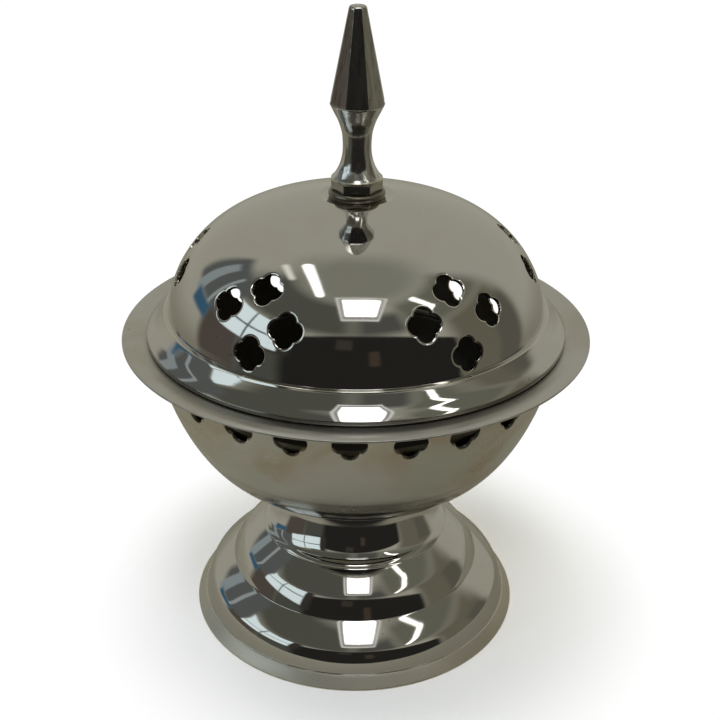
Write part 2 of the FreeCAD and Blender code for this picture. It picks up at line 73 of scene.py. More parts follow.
# ------------------------------------------------------------------ outlines
def spline(pts, n):
    """Natural cubic spline through the points, n samples."""
    P = np.array(pts, float)
    d = np.r_[0, np.cumsum(np.hypot(*np.diff(P, axis=0).T))]
    m = len(P)
    h = np.diff(d)
    out = []
    u = np.linspace(0, d[-1], n)
    for c in range(2):
        y = P[:, c]
        A = np.eye(m)
        b = np.zeros(m)
        for i in range(1, m - 1):
            A[i, i - 1:i + 2] = h[i - 1], 2 * (h[i - 1] + h[i]), h[i]
            b[i] = 6 * ((y[i + 1] - y[i]) / h[i] - (y[i] - y[i - 1]) / h[i - 1])
        M = np.linalg.solve(A, b)
        k = np.clip(np.searchsorted(d, u, side="right") - 1, 0, m - 2)
        a0, a1 = d[k + 1] - u, u - d[k]
        out.append(M[k] * a0 ** 3 / (6 * h[k]) + M[k + 1] * a1 ** 3 / (6 * h[k])
                   + (y[k] / h[k] - M[k] * h[k] / 6) * a0 + (y[k + 1] / h[k] - M[k + 1] * h[k] / 6) * a1)
    return [tuple(p) for p in np.array(out).T]


def arc3(a, m, b, n=7):
    """Circular arc from a through m to b."""
    (ax, ay), (mx, my), (bx, by) = a, m, b
    d = 2 * (ax * (my - by) + mx * (by - ay) + bx * (ay - my))
    ux = ((ax ** 2 + ay ** 2) * (my - by) + (mx ** 2 + my ** 2) * (by - ay) + (bx ** 2 + by ** 2) * (ay - my)) / d
    uy = ((ax ** 2 + ay ** 2) * (bx - mx) + (mx ** 2 + my ** 2) * (ax - bx) + (bx ** 2 + by ** 2) * (mx - ax)) / d
    r = math.hypot(ax - ux, ay - uy)
    t0, tm, t1 = (math.atan2(y - uy, x - ux) for x, y in (a, m, b))
    ccw = (ax - ux) * (my - uy) - (ay - uy) * (mx - ux) > 0
    if ccw:
        while t1 < t0:
            t1 += 2 * math.pi
    else:
        while t1 > t0:
            t1 -= 2 * math.pi
    return [(ux + r * math.cos(t0 + (t1 - t0) * k / (n - 1)), uy + r * math.sin(t0 + (t1 - t0) * k / (n - 1)))
            for k in range(n)]


def bend(p, c, q, radius, n=6):
    """The corner p-c-q turned with a small radius: the points that replace c."""
    a, b = np.array(p, float) - c, np.array(q, float) - c
    la, lb = np.hypot(*a), np.hypot(*b)
    a, b = a / la, b / lb
    half = math.acos(max(-1.0, min(1.0, float(a @ b)))) / 2
    cut = min(radius / math.tan(half), la * 0.9, lb * 0.9)
    radius = cut * math.tan(half)
    mid = (a + b) / np.hypot(*(a + b))
    centre = np.array(c) + mid * radius / math.sin(half)
    touch_a, touch_b = np.array(c) + a * cut, np.array(c) + b * cut
    middle = centre - mid * radius
    return arc3(tuple(touch_a), tuple(middle), tuple(touch_b), n)


def superellipse(a, p, z0, b, q, t0, t1, step=0.35):
    """Even steps along r = a cos(t)^p, z = z0 + b sin(t)^q, with the outward normal."""
    t = np.linspace(t0, t1, 4000)
    c, s = np.cos(t), np.sin(t)
    r, z = a * c ** p, z0 + b * s ** q
    d = np.r_[0, np.cumsum(np.hypot(np.diff(r), np.diff(z)))]
    n = int(abs(d[-1]) / step) + 2
    t = np.interp(np.linspace(0, d[-1], n), d, t)
    c, s = np.cos(t), np.sin(t)
    r, z = a * c ** p, z0 + b * s ** q
    dr = -a * p * c ** (p - 1) * s
    dz = b * q * s ** (q - 1) * c
    if b < 0:
        dr, dz = -dr, -dz
    m = np.hypot(dr, dz)
    return r, z, dz / m, -dr / m


def inset(pts, t):
    P = np.array(pts, float)
    g = np.gradient(P, axis=0)
    m = np.hypot(g[:, 0], g[:, 1])
    return [(P[i, 0] - t * g[i, 1] / m[i], P[i, 1] + t * g[i, 0] / m[i]) for i in range(len(P))]


# ------------------------------------------------------------------ mesh building
class Sheet:
    """Collects faces with exact normals, and joins shared points when it is made."""

    def __init__(self):
        self.v, self.w, self.f, self.n, self.m = [], [], [], [], []
        self.count = 0

    def add(self, verts, faces, normals, wear=None, mat=0):
        """faces: one index array per corner count; normals: one (faces, corners, 3) array for each."""
        self.v.append(np.asarray(verts, float))
        self.w.append(np.zeros(len(verts)) if wear is None else np.asarray(wear, float))
        for f, n in zip(faces, normals):
            self.f.append(np.asarray(f) + self.count)
            self.n.append(np.asarray(n, float))
            self.m.append(mat)
        self.count += len(verts)

    def make(self, name, materials):
        V = np.concatenate(self.v)
        W = np.concatenate(self.w)
        key = np.round(V * 2e3).astype(np.int64)
        _, first, back = np.unique(key, axis=0, return_index=True, return_inverse=True)
        back = back.reshape(-1)
        V, W = V[first], W[first]
        faces, normals, mats = [], [], []
        for f, n, m in zip(self.f, self.n, self.m):
            f = back[f]
            for row, nn in zip(f.tolist(), n):
                keep = [i for i in range(len(row)) if row[i] != row[i - 1]]
                if len(keep) < 3 or len(set(row[i] for i in keep)) < len(keep):
                    continue
                faces.append([row[i] for i in keep])
                normals.extend(nn[i] for i in keep)
                mats.append(m)
        mesh = bpy.data.meshes.new(name)
        mesh.from_pydata((V * MM).tolist(), [], faces)
        mesh.polygons.foreach_set("use_smooth", [True] * len(faces))
        mesh.polygons.foreach_set("material_index", mats)
        att = mesh.attributes.new("wear", "FLOAT", "POINT")
        att.data.foreach_set("value", W.astype(np.float32))
        mesh.update()
        mesh.normals_split_custom_set([tuple(x) for x in normals])
        for m in materials:
            mesh.materials.append(m)
        ob = bpy.data.objects.new(name, mesh)
        scene.collection.objects.link(ob)
        return ob


def directions(az):
    return np.sin(az), -np.cos(az)


def lathe(sheet, prof, az, closed=False, mat=0, crease=15.0, wear_width=0.45, wear_gain=1.0):
    """Turns the outline about Z. The metal lies to the left of the outline's direction."""
    P = np.array(prof, float)
    keep = np.r_[True, np.hypot(*np.diff(P, axis=0).T) > 1e-5]
    P = P[keep]
    if closed and np.hypot(*(P[0] - P[-1])) > 1e-5:
        P = np.vstack([P, P[0]])
    seg = np.diff(P, axis=0)
    L = np.hypot(seg[:, 0], seg[:, 1])
    sn = np.stack([seg[:, 1], -seg[:, 0]], -1) / L[:, None]
    ns = len(seg)
    ang = np.arctan2(seg[:, 1], seg[:, 0])
    turn = np.zeros(ns + 1)
    if ns > 1:
        turn[1:-1] = (np.diff(ang) + np.pi) % (2 * np.pi) - np.pi
    if closed:
        turn[0] = turn[-1] = (ang[0] - ang[-1] + np.pi) % (2 * np.pi) - np.pi
    sharp = np.abs(turn) > rad(crease)
    if not closed:
        sharp[0] = sharp[-1] = True
    smooth = np.zeros((ns + 1, 2))
    for i in range(ns + 1):
        a, b = (i - 1) % ns, i % ns
        v = sn[a] * L[b] + sn[b] * L[a]
        smooth[i] = v / max(np.hypot(*v), 1e-9)
    start, end = np.empty((ns, 2)), np.empty((ns, 2))
    for i in range(ns):
        start[i] = smooth[i] if not sharp[i] else sn[i]
        end[i] = smooth[i + 1] if not sharp[i + 1] else sn[i]
        if sharp[i] and not sharp[i + 1]:
            v = 2 * sn[i] - smooth[i + 1]
            start[i] = v / np.hypot(*v)
        if sharp[i + 1] and not sharp[i]:
            v = 2 * sn[i] - smooth[i]
            end[i] = v / np.hypot(*v)
    # wear gathers where the outline turns outward, and fades along it
    pos = np.r_[0, np.cumsum(L)]
    w = np.zeros(ns + 1)
    local = np.zeros(ns + 1)
    for i in range(ns + 1):
        near = np.abs(pos - pos[i]) < 0.7
        local[i] = np.clip(turn[near].sum(), 0, 1.6)
    for i in range(ns + 1):
        w[i] = (np.clip(local, 0, 1.2) * np.exp(-((pos - pos[i]) / wear_width) ** 2)).max()
    M = len(az)
    sx, sy = directions(az)
    V = np.stack([np.outer(P[:, 0], sx), np.outer(P[:, 0], sy), np.repeat(P[:, 1][:, None], M, 1)], -1).reshape(-1, 3)
    j = np.arange(M)
    k = (j + 1) % M
    quads, normals = [], []
    for i in range(ns):
        quads.append(np.stack([i * M + j, i * M + k, (i + 1) * M + k, (i + 1) * M + j], -1))
        a = np.stack([start[i, 0] * sx, start[i, 0] * sy, np.full(M, start[i, 1])], -1)
        b = np.stack([end[i, 0] * sx, end[i, 0] * sy, np.full(M, end[i, 1])], -1)
        normals.append(np.stack([a, a[k], b[k], b], 1))
    sheet.add(V, [np.concatenate(quads)], [np.concatenate(normals)], np.repeat(w * wear_gain, M), mat)


def lobes_gap(a, b):
    """Distance outside the four-lobed outline, and its direction."""
    best = np.full(a.shape, 1e9)
    ga, gb = np.zeros(a.shape), np.zeros(a.shape)
    for ca, cb in ((LOBE_D, 0), (-LOBE_D, 0), (0, LOBE_D), (0, -LOBE_D)):
        d = np.hypot(a - ca, b - cb)
        use = d < best
        best = np.where(use, d, best)
        ga = np.where(use, (a - ca) / np.maximum(d, 1e-9), ga)
        gb = np.where(use, (b - cb) / np.maximum(d, 1e-9), gb)
    return best - LOBE_R, ga, gb


def lobes_ring(off, n=96):
    th = np.linspace(0, 2 * np.pi, n, endpoint=False)
    R = LOBE_R + off
    k = np.round(th / (np.pi / 2)) * (np.pi / 2)
    d = th - k
    r = LOBE_D * np.cos(d) + np.sqrt(np.maximum(R ** 2 - (LOBE_D * np.sin(d)) ** 2, 0))
    return r * np.cos(th), r * np.sin(th)


def perforated(sheet, prof, thick, holes, az, dish=0.22, width=0.7, mat=0, mat_in=0):
    """A pierced band of sheet metal between two rows. prof: (r, z, nr, nz) going up. The edge of each hole is pressed in a little."""
    r, z, nr, nz = prof
    s = np.r_[0, np.cumsum(np.hypot(np.diff(r), np.diff(z)))]
    ref = float(r.mean())
    at = lambda q: (np.interp(q, s, r), np.interp(q, s, z), np.interp(q, s, nr), np.interp(q, s, nz))
    az = np.asarray(az)
    seam = az[0]
    cols = np.r_[az, seam + 2 * np.pi]
    U, V = np.meshgrid(cols, s)
    U, V = U.ravel(), V.ravel()
    keep = np.ones(len(U), bool)
    centres = []
    for a_deg, zc in holes:
        c = rad(a_deg)
        while c < seam:
            c += 2 * np.pi
        while c >= seam + 2 * np.pi:
            c -= 2 * np.pi
        up = np.argsort(z)
        centres.append((c, float(np.interp(zc, z[up], s[up]))))
    rings = [0.0, 0.08, 0.18, 0.32, 0.5, 0.7]
    extra_u, extra_v = [], []
    first = []
    for c, sc in centres:
        near = (np.abs(V - sc) < 9) & (np.abs(U - c) * ref < 11)
        rr = np.interp(V, s, r)
        a = rr * np.sin(U - c)
        g, _, _ = lobes_gap(a, V - sc)
        keep &= ~(near & (g < 0.7 + 0.25) & (V > s[0] + 1e-6) & (V < s[-1] - 1e-6))
    base_u, base_v = U[keep], V[keep]
    n_base = len(base_u)
    for c, sc in centres:
        for k, off in enumerate(rings):
            a, b = lobes_ring(off)
            rr = np.interp(sc + b, s, r)
            if k == 0:
                first.append(n_base + sum(len(e) for e in extra_u))
            extra_u.append(c + np.arcsin(a / rr))
            extra_v.append(sc + b)
    U = np.r_[base_u, np.concatenate(extra_u)]
    V = np.r_[base_v, np.concatenate(extra_v)]
    n_ring = 96
    edges = [(f + i, f + (i + 1) % n_ring) for f in first for i in range(n_ring)]
    pts = [Vector((u * ref, v)) for u, v in zip(U.tolist(), V.tolist())]
    res = delaunay_2d_cdt(pts, edges, [], 0, 1e-5)
    o_v, o_f, o_src = res[0], res[2], res[3]
    T = np.array([list(f) for f in o_f])
    PU = np.array([p[0] for p in o_v]) / ref
    PV = np.array([p[1] for p in o_v])
    # exact places of the points that were given
    src = np.array([q[0] if len(q) else -1 for q in o_src])
    ok = src >= 0
    PU[ok], PV[ok] = U[src[ok]], V[src[ok]]
    cu, cv = PU[T].mean(1), PV[T].mean(1)
    inside = np.zeros(len(T), bool)
    for c, sc in centres:
        near = (np.abs(cv - sc) < 7) & (np.abs(cu - c) * ref < 8)
        rr = np.interp(cv, s, r)
        a, b = rr * np.sin(cu - c), cv - sc
        th = np.arctan2(b, a)
        d = th - np.round(th / (np.pi / 2)) * (np.pi / 2)
        edge = LOBE_D * np.cos(d) + np.sqrt(np.maximum(LOBE_R ** 2 - (LOBE_D * np.sin(d)) ** 2, 0))
        inside |= near & (np.hypot(a, b) < edge)
    T = T[~inside]
    area = ((PU[T[:, 1]] - PU[T[:, 0]]) * (PV[T[:, 2]] - PV[T[:, 0]]) - (PU[T[:, 2]] - PU[T[:, 0]]) * (PV[T[:, 1]] - PV[T[:, 0]]))
    T[area < 0] = T[area < 0][:, ::-1]
    T = T[np.abs(area) > 1e-10]

    def shape(u, v, off, side):
        rr, zz, a_r, a_z = at(v)
        h = np.zeros(len(u))
        ta, tb = np.zeros(len(u)), np.zeros(len(u))
        wear = np.zeros(len(u))
        for c, sc in centres:
            near = np.where((np.abs(v - sc) < 9) & (np.abs(u - c) * ref < 11))[0]
            if not len(near):
                continue
            g, ga, gb = lobes_gap(rr[near] * np.sin(u[near] - c), v[near] - sc)
            g = np.maximum(g, 0)
            q = np.clip(1 - g / width, 0, 1)
            h[near] -= dish * q ** 2
            slope = 2 * dish / width * q
            ta[near] += slope * ga
            tb[near] += slope * gb
            wear[near] = np.maximum(wear[near], np.exp(-(g / 0.35) ** 2))
        sx, sy = directions(u)
        R = rr + a_r * (h + off)
        Z = zz + a_z * (h + off)
        N = np.stack([a_r * sx, a_r * sy, a_z], -1)
        Tu = np.stack([-sy, sx, 0 * sx], -1)
        Tv = np.stack([-a_z * sx, -a_z * sy, a_r], -1)
        N = N - ta[:, None] * Tu - tb[:, None] * Tv
        N /= np.linalg.norm(N, axis=1)[:, None]
        return np.stack([R * sx, R * sy, Z], -1), N * side, wear

    outer, n_out, w_out = shape(PU, PV, 0.0, 1)
    inner, n_in, w_in = shape(PU, PV, -thick, -1)
    sheet.add(outer, [T], [n_out[T]], w_out, mat)
    Ti = T[:, ::-1]
    sheet.add(inner, [Ti], [n_in[Ti]], w_in * 0.5, mat_in)
    # the cut wall of each hole
    for c, sc in centres:
        a, b = lobes_ring(0.0)
        rr, zz, a_r, a_z = at(sc + b)
        u = c + np.arcsin(a / rr)
        sx, sy = directions(u)
        _, ga, gb = lobes_gap(a, b)
        N = np.stack([a_r * sx, a_r * sy, a_z], -1)
        Tu = np.stack([-sy, sx, 0 * sx], -1)
        Tv = np.stack([-a_z * sx, -a_z * sy, a_r], -1)
        g = ga[:, None] * Tu + gb[:, None] * Tv
        rows, rn = [], []
        for off, t in ((-dish, 0.0), (-dish - thick, 0.0)):
            R, Z = rr + a_r * off, zz + a_z * off
            rows.append(np.stack([R * sx, R * sy, Z], -1))
            rn.append(-g)
        m = len(a)
        i = np.arange(m)
        k = (i + 1) % m
        quad = np.stack([i, m + i, m + k, k], -1)
        nn = np.concatenate(rn)
        nn /= np.linalg.norm(nn, axis=1)[:, None]
        P = np.concatenate(rows)
        # face the hole
        q = quad[0]
        flat = np.cross(P[q[1]] - P[q[0]], P[q[2]] - P[q[0]])
        if flat @ nn[q[0]] < 0:
            quad = quad[:, ::-1]
        sheet.add(P, [quad], [nn[quad]], np.r_[np.ones(m), np.full(m, 0.5)], mat)


def around(n, seam=0.0):
    return rad(seam) + np.arange(n) * 2 * np.pi / n


def faceted(sheet, sides, rows, bevel, first=-90.0, mat=0):
    """Upright prism or spire: rows of (z, apothem, corner radius limit), with narrow turned edges."""
    ang = np.radians(first + np.arange(sides) * 360.0 / sides)
    half = math.pi / sides
    P = []
    for z, ap, lim in rows:
        ring = []
        for t in ang:
            side = ap * math.tan(half)
            cut = side - bevel * min(1.0, ap / 3.0)
            if lim is not None:
                reach = math.sqrt(max(lim ** 2 - ap ** 2, 0.01)) if lim > ap else None
                if reach is not None:
                    cut = min(cut, reach)
            for e in (-cut, cut):
                x = ap * math.cos(t) - e * math.sin(t)
                y = ap * math.sin(t) + e * math.cos(t)
                if lim is not None and lim <= ap:
                    q = lim / math.hypot(x, y)
                    x, y = x * q, y * q
                ring.append((x, y, z))
        P.append(ring)
    P = np.array(P)
    R, M = P.shape[0], P.shape[1]
    V = P.reshape(-1, 3)
    flats = []
    for i in range(R - 1):
        slope = (rows[i + 1][1] - rows[i][1]) / (rows[i + 1][0] - rows[i][0])
        n = np.array([(math.cos(t), math.sin(t), -slope) for t in ang])
        flats.append(n / np.linalg.norm(n, axis=1)[:, None])
    quads, normals = [], []
    for i in range(R - 1):
        for s_ in range(sides):
            a, b = 2 * s_, 2 * s_ + 1
            c = (b + 1) % M
            n0, n1 = flats[i][s_], flats[i][(s_ + 1) % sides]
            quads.append([i * M + a, i * M + b, (i + 1) * M + b, (i + 1) * M + a])
            normals.append([n0, n0, n0, n0])
            quads.append([i * M + b, i * M + c, (i + 1) * M + c, (i + 1) * M + b])
            normals.append([n0, n1, n1, n0])
    wear = np.full(len(V), 0.0)
    sheet.add(V, [np.array(quads)], [np.array(normals)], wear, mat)
    return P


def cap(sheet, ring, z, down=False, hole=None, mat=0):
    """Flat end of a faceted body, out to its ring, in to the axis or to a round hole."""
    M = len(ring)
    n = np.array([0, 0, -1.0 if down else 1.0])
    ang = np.arctan2(ring[:, 1], ring[:, 0])
    r = hole if hole else 0.0
    inner = np.stack([r * np.cos(ang), r * np.sin(ang), np.full(M, z)], -1)
    V = np.concatenate([ring, inner])
    j = np.arange(M)
    k = (j + 1) % M
    quad = np.stack([j, k, M + k, M + j], -1)
    if down:
        quad = quad[:, ::-1]
    sheet.add(V, [quad], [np.broadcast_to(n, (M, 4, 3))], np.zeros(len(V)), mat)
    return inner


def stitch(sheet, outer, inner, mat=0):
    """Level ledge, facing up, from a round outer edge in to a many-sided one with other points."""
    full = 2 * np.pi
    order = lambda ring: ring[np.argsort(np.arctan2(ring[:, 1], ring[:, 0]) % full)]
    A, B = order(np.asarray(outer)), order(np.asarray(inner))
    a, b = np.arctan2(A[:, 1], A[:, 0]) % full, np.arctan2(B[:, 1], B[:, 0]) % full
    na, nb = len(A), len(B)
    i = j = 0
    tris = []
    while i < na or j < nb:
        next_a = a[(i + 1) % na] + full * ((i + 1) // na)
        next_b = b[(j + 1) % nb] + full * ((j + 1) // nb)
        if j == nb or (i < na and next_a <= next_b):
            tris.append((i % na, (i + 1) % na, na + j % nb))
            i += 1
        else:
            tris.append((i % na, na + (j + 1) % nb, na + j % nb))
            j += 1
    V = np.concatenate([A, B])
    n = np.broadcast_to(np.array([0, 0, 1.0]), (len(tris), 3, 3))
    sheet.add(V, [np.array(tris)], [n], np.zeros(len(V)), mat)


# ------------------------------------------------------------------ node helpers
class Nodes:
    def __init__(self, tree):
        self.t = tree
        self.t.nodes.clear()

    def new(self, kind, **props):
        n = self.t.nodes.new(kind)
        for k, v in props.items():
            setattr(n, k, v)
        return n

    def put(self, sock, value):
        if isinstance(value, bpy.types.NodeSocket):
            self.t.links.new(value, sock)
        elif value is not None:
            sock.default_value = value

    def math(self, op, a, b=None, c=None, clamp=False):
        n = self.new("ShaderNodeMath", operation=op, use_clamp=clamp)
        for s, v in zip(n.inputs, (a, b, c)):
            self.put(s, v)
        return n.outputs[0]

    def step(self, x, lo, hi, a=0.0, b=1.0):
        n = self.new("ShaderNodeMapRange", interpolation_type="SMOOTHSTEP")
        self.put(n.inputs[0], x)
        for i, v in enumerate((lo, hi, a, b), 1):
            self.put(n.inputs[i], v)
        return n.outputs[0]

    def mix(self, f, a, b, blend="MIX"):
        n = self.new("ShaderNodeMix", data_type="RGBA", blend_type=blend)
        self.put(n.inputs[0], f)
        self.put(n.inputs[6], a)
        self.put(n.inputs[7], b)
        return n.outputs[2]

    def blendf(self, f, a, b):
        n = self.new("ShaderNodeMix", data_type="FLOAT")
        self.put(n.inputs[0], f)
        self.put(n.inputs[2], a)
        self.put(n.inputs[3], b)
        return n.outputs[0]

    def noise(self, vec, scale, detail=3.0, rough=0.5, kind="3D", distortion=0.0):
        n = self.new("ShaderNodeTexNoise", noise_dimensions=kind)
        self.put(n.inputs["Vector"], vec)
        n.inputs["Scale"].default_value = scale
        n.inputs["Detail"].default_value = detail
        n.inputs["Roughness"].default_value = rough
        n.inputs["Distortion"].default_value = distortion
        return n.outputs[0]

    def combine(self, x, y, z):
        n = self.new("ShaderNodeCombineXYZ")
        for s, v in zip(n.inputs, (x, y, z)):
            self.put(s, v)
        return n.outputs[0]

    def separate(self, v):
        n = self.new("ShaderNodeSeparateXYZ")
        self.put(n.inputs[0], v)
        return n.outputs


def lin(c):
    c = c / 255.0
    return c / 12.92 if c <= 0.04045 else ((c + 0.055) / 1.055) ** 2.4


def rgb(r, g, b, gain=1.0):
    return (lin(r) * gain, lin(g) * gain, lin(b) * gain, 1.0)


# ------------------------------------------------------------------ materials
def plated(name, base=(0.64, 0.628, 0.612), rough=0.12, uneven=0.06, spin=0.3, wave=0.25,
           wave_scale=38.0, grain=0.15, tarnish=0.35, worn=0.8, scratch=0.3, pits=0.4, seed=0.0, painted_dark_zones=(), drawn=0.0, stain=0.0, facets=False):
    """Nickel plate on spun or turned brass: turning lines, handling scratches, clouding and worn edges."""
    m = bpy.data.materials.new(name)
    m.use_nodes = True
    g = Nodes(m.node_tree)
    out = g.new("ShaderNodeOutputMaterial")
    bsdf = g.new("ShaderNodeBsdfPrincipled")
    g.t.links.new(bsdf.outputs[0], out.inputs[0])
    pos = g.new("ShaderNodeTexCoord").outputs["Object"]
    x, y, z = g.separate(pos)
    r = g.math("SQRT", g.math("ADD", g.math("MULTIPLY", x, x), g.math("MULTIPLY", y, y)))
    az = g.math("ARCTAN2", y, x)
    # fine rings left by the lathe: thin across the outline, long around it
    ring = g.combine(g.math("MULTIPLY", r, 1.0), g.math("MULTIPLY_ADD", az, 0.0016, seed * 0.01), z)
    lines = g.noise(ring, 2600.0, 2.0, 0.65)
    lines2 = g.noise(ring, 700.0, 2.0, 0.5)
    lines_mix = g.math("ADD", g.math("MULTIPLY", lines, 0.6), g.math("MULTIPLY", lines2, 0.4))
    # handling scratches: thin curved lines in every direction
    warp = g.noise(pos, 60.0, 2.0, 0.5)
    sv = g.new("ShaderNodeTexVoronoi", feature="DISTANCE_TO_EDGE")
    moved = g.new("ShaderNodeVectorMath", operation="MULTIPLY_ADD")
    g.put(moved.inputs[0], g.combine(warp, warp, warp))
    moved.inputs[1].default_value = (0.006, -0.004, 0.005)
    g.put(moved.inputs[2], pos)
    g.put(sv.inputs["Vector"], moved.outputs[0])
    sv.inputs["Scale"].default_value = 130.0
    gate = g.step(g.noise(pos, 90.0 + seed, 2.0, 0.6), 0.56, 0.66)
    lines3 = g.math("MULTIPLY", g.step(sv.outputs["Distance"], 0.0, 0.014, 1.0, 0.0), gate)
    # clouding in soft patches
    cloud = g.noise(pos, 26.0, 5.0, 0.62, distortion=0.4)
    cloud_m = g.step(cloud, 0.42, 0.68)
    fine = g.noise(pos, 420.0, 4.0, 0.7)
    # small dark pits and water spots
    pv = g.new("ShaderNodeTexVoronoi", feature="F1")
    g.put(pv.inputs["Vector"], pos)
    pv.inputs["Scale"].default_value = 210.0
    pv.inputs["Randomness"].default_value = 1.0
    pit_on = g.step(g.noise(pos, 150.0 + seed, 1.0, 0.5), 0.60, 0.68)
    pit = g.math("MULTIPLY", g.step(pv.outputs["Distance"], 0.05, 0.16, 1.0, 0.0), pit_on)
    wear_at = g.new("ShaderNodeAttribute", attribute_name="wear").outputs["Fac"]
    wear_n = g.noise(pos, 300.0, 3.0, 0.7)
    wear = g.math("MULTIPLY", g.step(g.math("MULTIPLY_ADD", wear_n, 0.9, wear_at), 0.95, 1.45), worn, clamp=True)
    c0 = (*base, 1)
    warmer = (base[0] * 0.90, base[1] * 0.86, base[2] * 0.76, 1)
    col = g.mix(g.math("MULTIPLY", cloud_m, tarnish), c0, warmer)
    col = g.mix(g.math("MULTIPLY", g.step(lines_mix, 0.35, 0.65), 0.10 * spin + 0.02), col,
                (base[0] * 0.8, base[1] * 0.79, base[2] * 0.76, 1))
    col = g.mix(g.math("MULTIPLY", pit, pits), col, (0.16, 0.13, 0.10, 1))
    col = g.mix(wear, col, (0.80, 0.73, 0.58, 1))
    if drawn:
        # streaks left along the length by filing and polishing
        streak = g.noise(g.combine(g.math("MULTIPLY", x, 1.0), g.math("MULTIPLY", y, 1.0), g.math("MULTIPLY", z, 0.035)), 620.0, 3.0, 0.6)
        col = g.mix(g.math("MULTIPLY", g.step(streak, 0.5, 0.66), 0.35 * drawn), col, (0.86, 0.85, 0.80, 1))
        col = g.mix(g.math("MULTIPLY", g.step(streak, 0.48, 0.36), 0.45 * drawn), col, (base[0] * 0.45, base[1] * 0.43, base[2] * 0.38, 1))
    if stain:
        heat = g.noise(g.combine(x, y, g.math("MULTIPLY", z, 1.9)), 17.0, 3.0, 0.55, distortion=0.6)
        col = g.mix(g.math("MULTIPLY", g.step(heat, 0.45, 0.6), stain), col, (base[0] * 0.80, base[1] * 0.66, base[2] * 0.52, 1))
        heat2 = g.noise(g.combine(g.math("ADD", x, 0.31), y, g.math("MULTIPLY", z, 1.9)), 21.0, 3.0, 0.55, distortion=0.6)
        col = g.mix(g.math("MULTIPLY", g.step(heat2, 0.47, 0.62), stain * 0.8), col, (base[0] * 0.88, base[1] * 0.92, base[2] * 0.86, 1))
    # heights painted darker as painted reflection and shade, where the polish also differs: (from mm, to mm, softness,
    # colour factor, roughness factor)
    polish = None
    for z0, z1, soft, dark, smooth in painted_dark_zones:
        zm = g.math("MULTIPLY_ADD", g.math("SUBTRACT", fine, 0.5), soft * 0.0006, z)
        painted_shade_mask = g.math("MULTIPLY", g.step(zm, (z0 - soft) / 1000, (z0 + soft) / 1000), g.step(zm, (z1 - soft) / 1000, (z1 + soft) / 1000, 1.0, 0.0))
        # painted shade: the zone is blended toward near-black
        col = g.mix(g.math("MULTIPLY", painted_shade_mask, 1.0 - dark), col, (0.05, 0.045, 0.035, 1))
        f = g.math("MULTIPLY_ADD", painted_shade_mask, smooth - 1.0, 1.0)
        polish = f if polish is None else g.math("MULTIPLY", polish, f)
    g.put(bsdf.inputs["Base Color"], col)
    bsdf.inputs["Metallic"].default_value = 1.0
    ro = g.math("MULTIPLY_ADD", cloud_m, uneven, rough)
    ro = g.math("MULTIPLY_ADD", g.step(fine, 0.45, 0.7), uneven * 0.35, ro)
    ro = g.math("MULTIPLY_ADD", lines3, 0.16 * scratch, ro)
    ro = g.math("MULTIPLY_ADD", pit, 0.25 * pits, ro)
    ro = g.math("MULTIPLY_ADD", wear, 0.28 if facets else 0.12, ro, clamp=True)
    if polish is not None:
        ro = g.math("MULTIPLY", ro, polish)
    g.put(bsdf.inputs["Roughness"], ro)
    # relief: slow waviness of the sheet, turning lines, grain and scratches
    slow = g.noise(pos, wave_scale, 2.0, 0.45)
    if drawn:
        slow = g.math("MULTIPLY_ADD", streak, 0.5 * drawn, slow)
    b1 = g.new("ShaderNodeBump")
    b1.inputs["Strength"].default_value = wave
    b1.inputs["Distance"].default_value = 0.0006
    g.put(b1.inputs["Height"], slow)
    b2 = g.new("ShaderNodeBump")
    b2.inputs["Strength"].default_value = spin
    b2.inputs["Distance"].default_value = 0.000006
    g.put(b2.inputs["Height"], lines_mix)
    g.t.links.new(b1.outputs[0], b2.inputs["Normal"])
    b3 = g.new("ShaderNodeBump")
    b3.inputs["Strength"].default_value = grain
    b3.inputs["Distance"].default_value = 0.00001
    h = g.math("SUBTRACT", fine, g.math("MULTIPLY", lines3, scratch * 1.5))
    h = g.math("SUBTRACT", h, g.math("MULTIPLY", pit, pits * 2.0))
    g.put(b3.inputs["Height"], h)
    g.t.links.new(b2.outputs[0], b3.inputs["Normal"])
    g.t.links.new(b3.outputs[0], bsdf.inputs["Normal"])
    return m


nickel_foot = plated("nickel_foot_polished", rough=0.035, uneven=0.03, spin=0.25, wave=0.35, wave_scale=30.0,
                     grain=0.05, tarnish=0.25, scratch=0.25, pits=0.25, seed=1.0, worn=0.3)
nickel_rim = plated("nickel_foot_rim_satin", base=(0.76, 0.72, 0.645), rough=0.45, uneven=0.10, spin=0.6, wave=0.2, tarnish=0.3,
                    pits=0.8, grain=0.4, seed=2.0, worn=0.4)
# the lower bowl, z 40 to 71 mm, is painted darker as a painted dark reflection, and a thin painted dark reflection
# line runs at z 74.4 to 75.8 mm
nickel_bowl = plated("nickel_bowl_satin", rough=0.22, uneven=0.08, spin=0.6, wave=0.2, tarnish=0.45,
                     pits=0.35, grain=0.3, seed=3.0, worn=0.6, stain=0.85,
                     painted_dark_zones=((40.0, 71.0, 2.2, 0.55, 0.45), (74.4, 75.8, 0.7, 0.78, 0.8)))
nickel_flange = plated("nickel_flange_satin", rough=0.33, uneven=0.10, spin=0.8, wave=0.2, tarnish=0.6,
                       pits=0.35, grain=0.3, seed=4.0, worn=0.25)
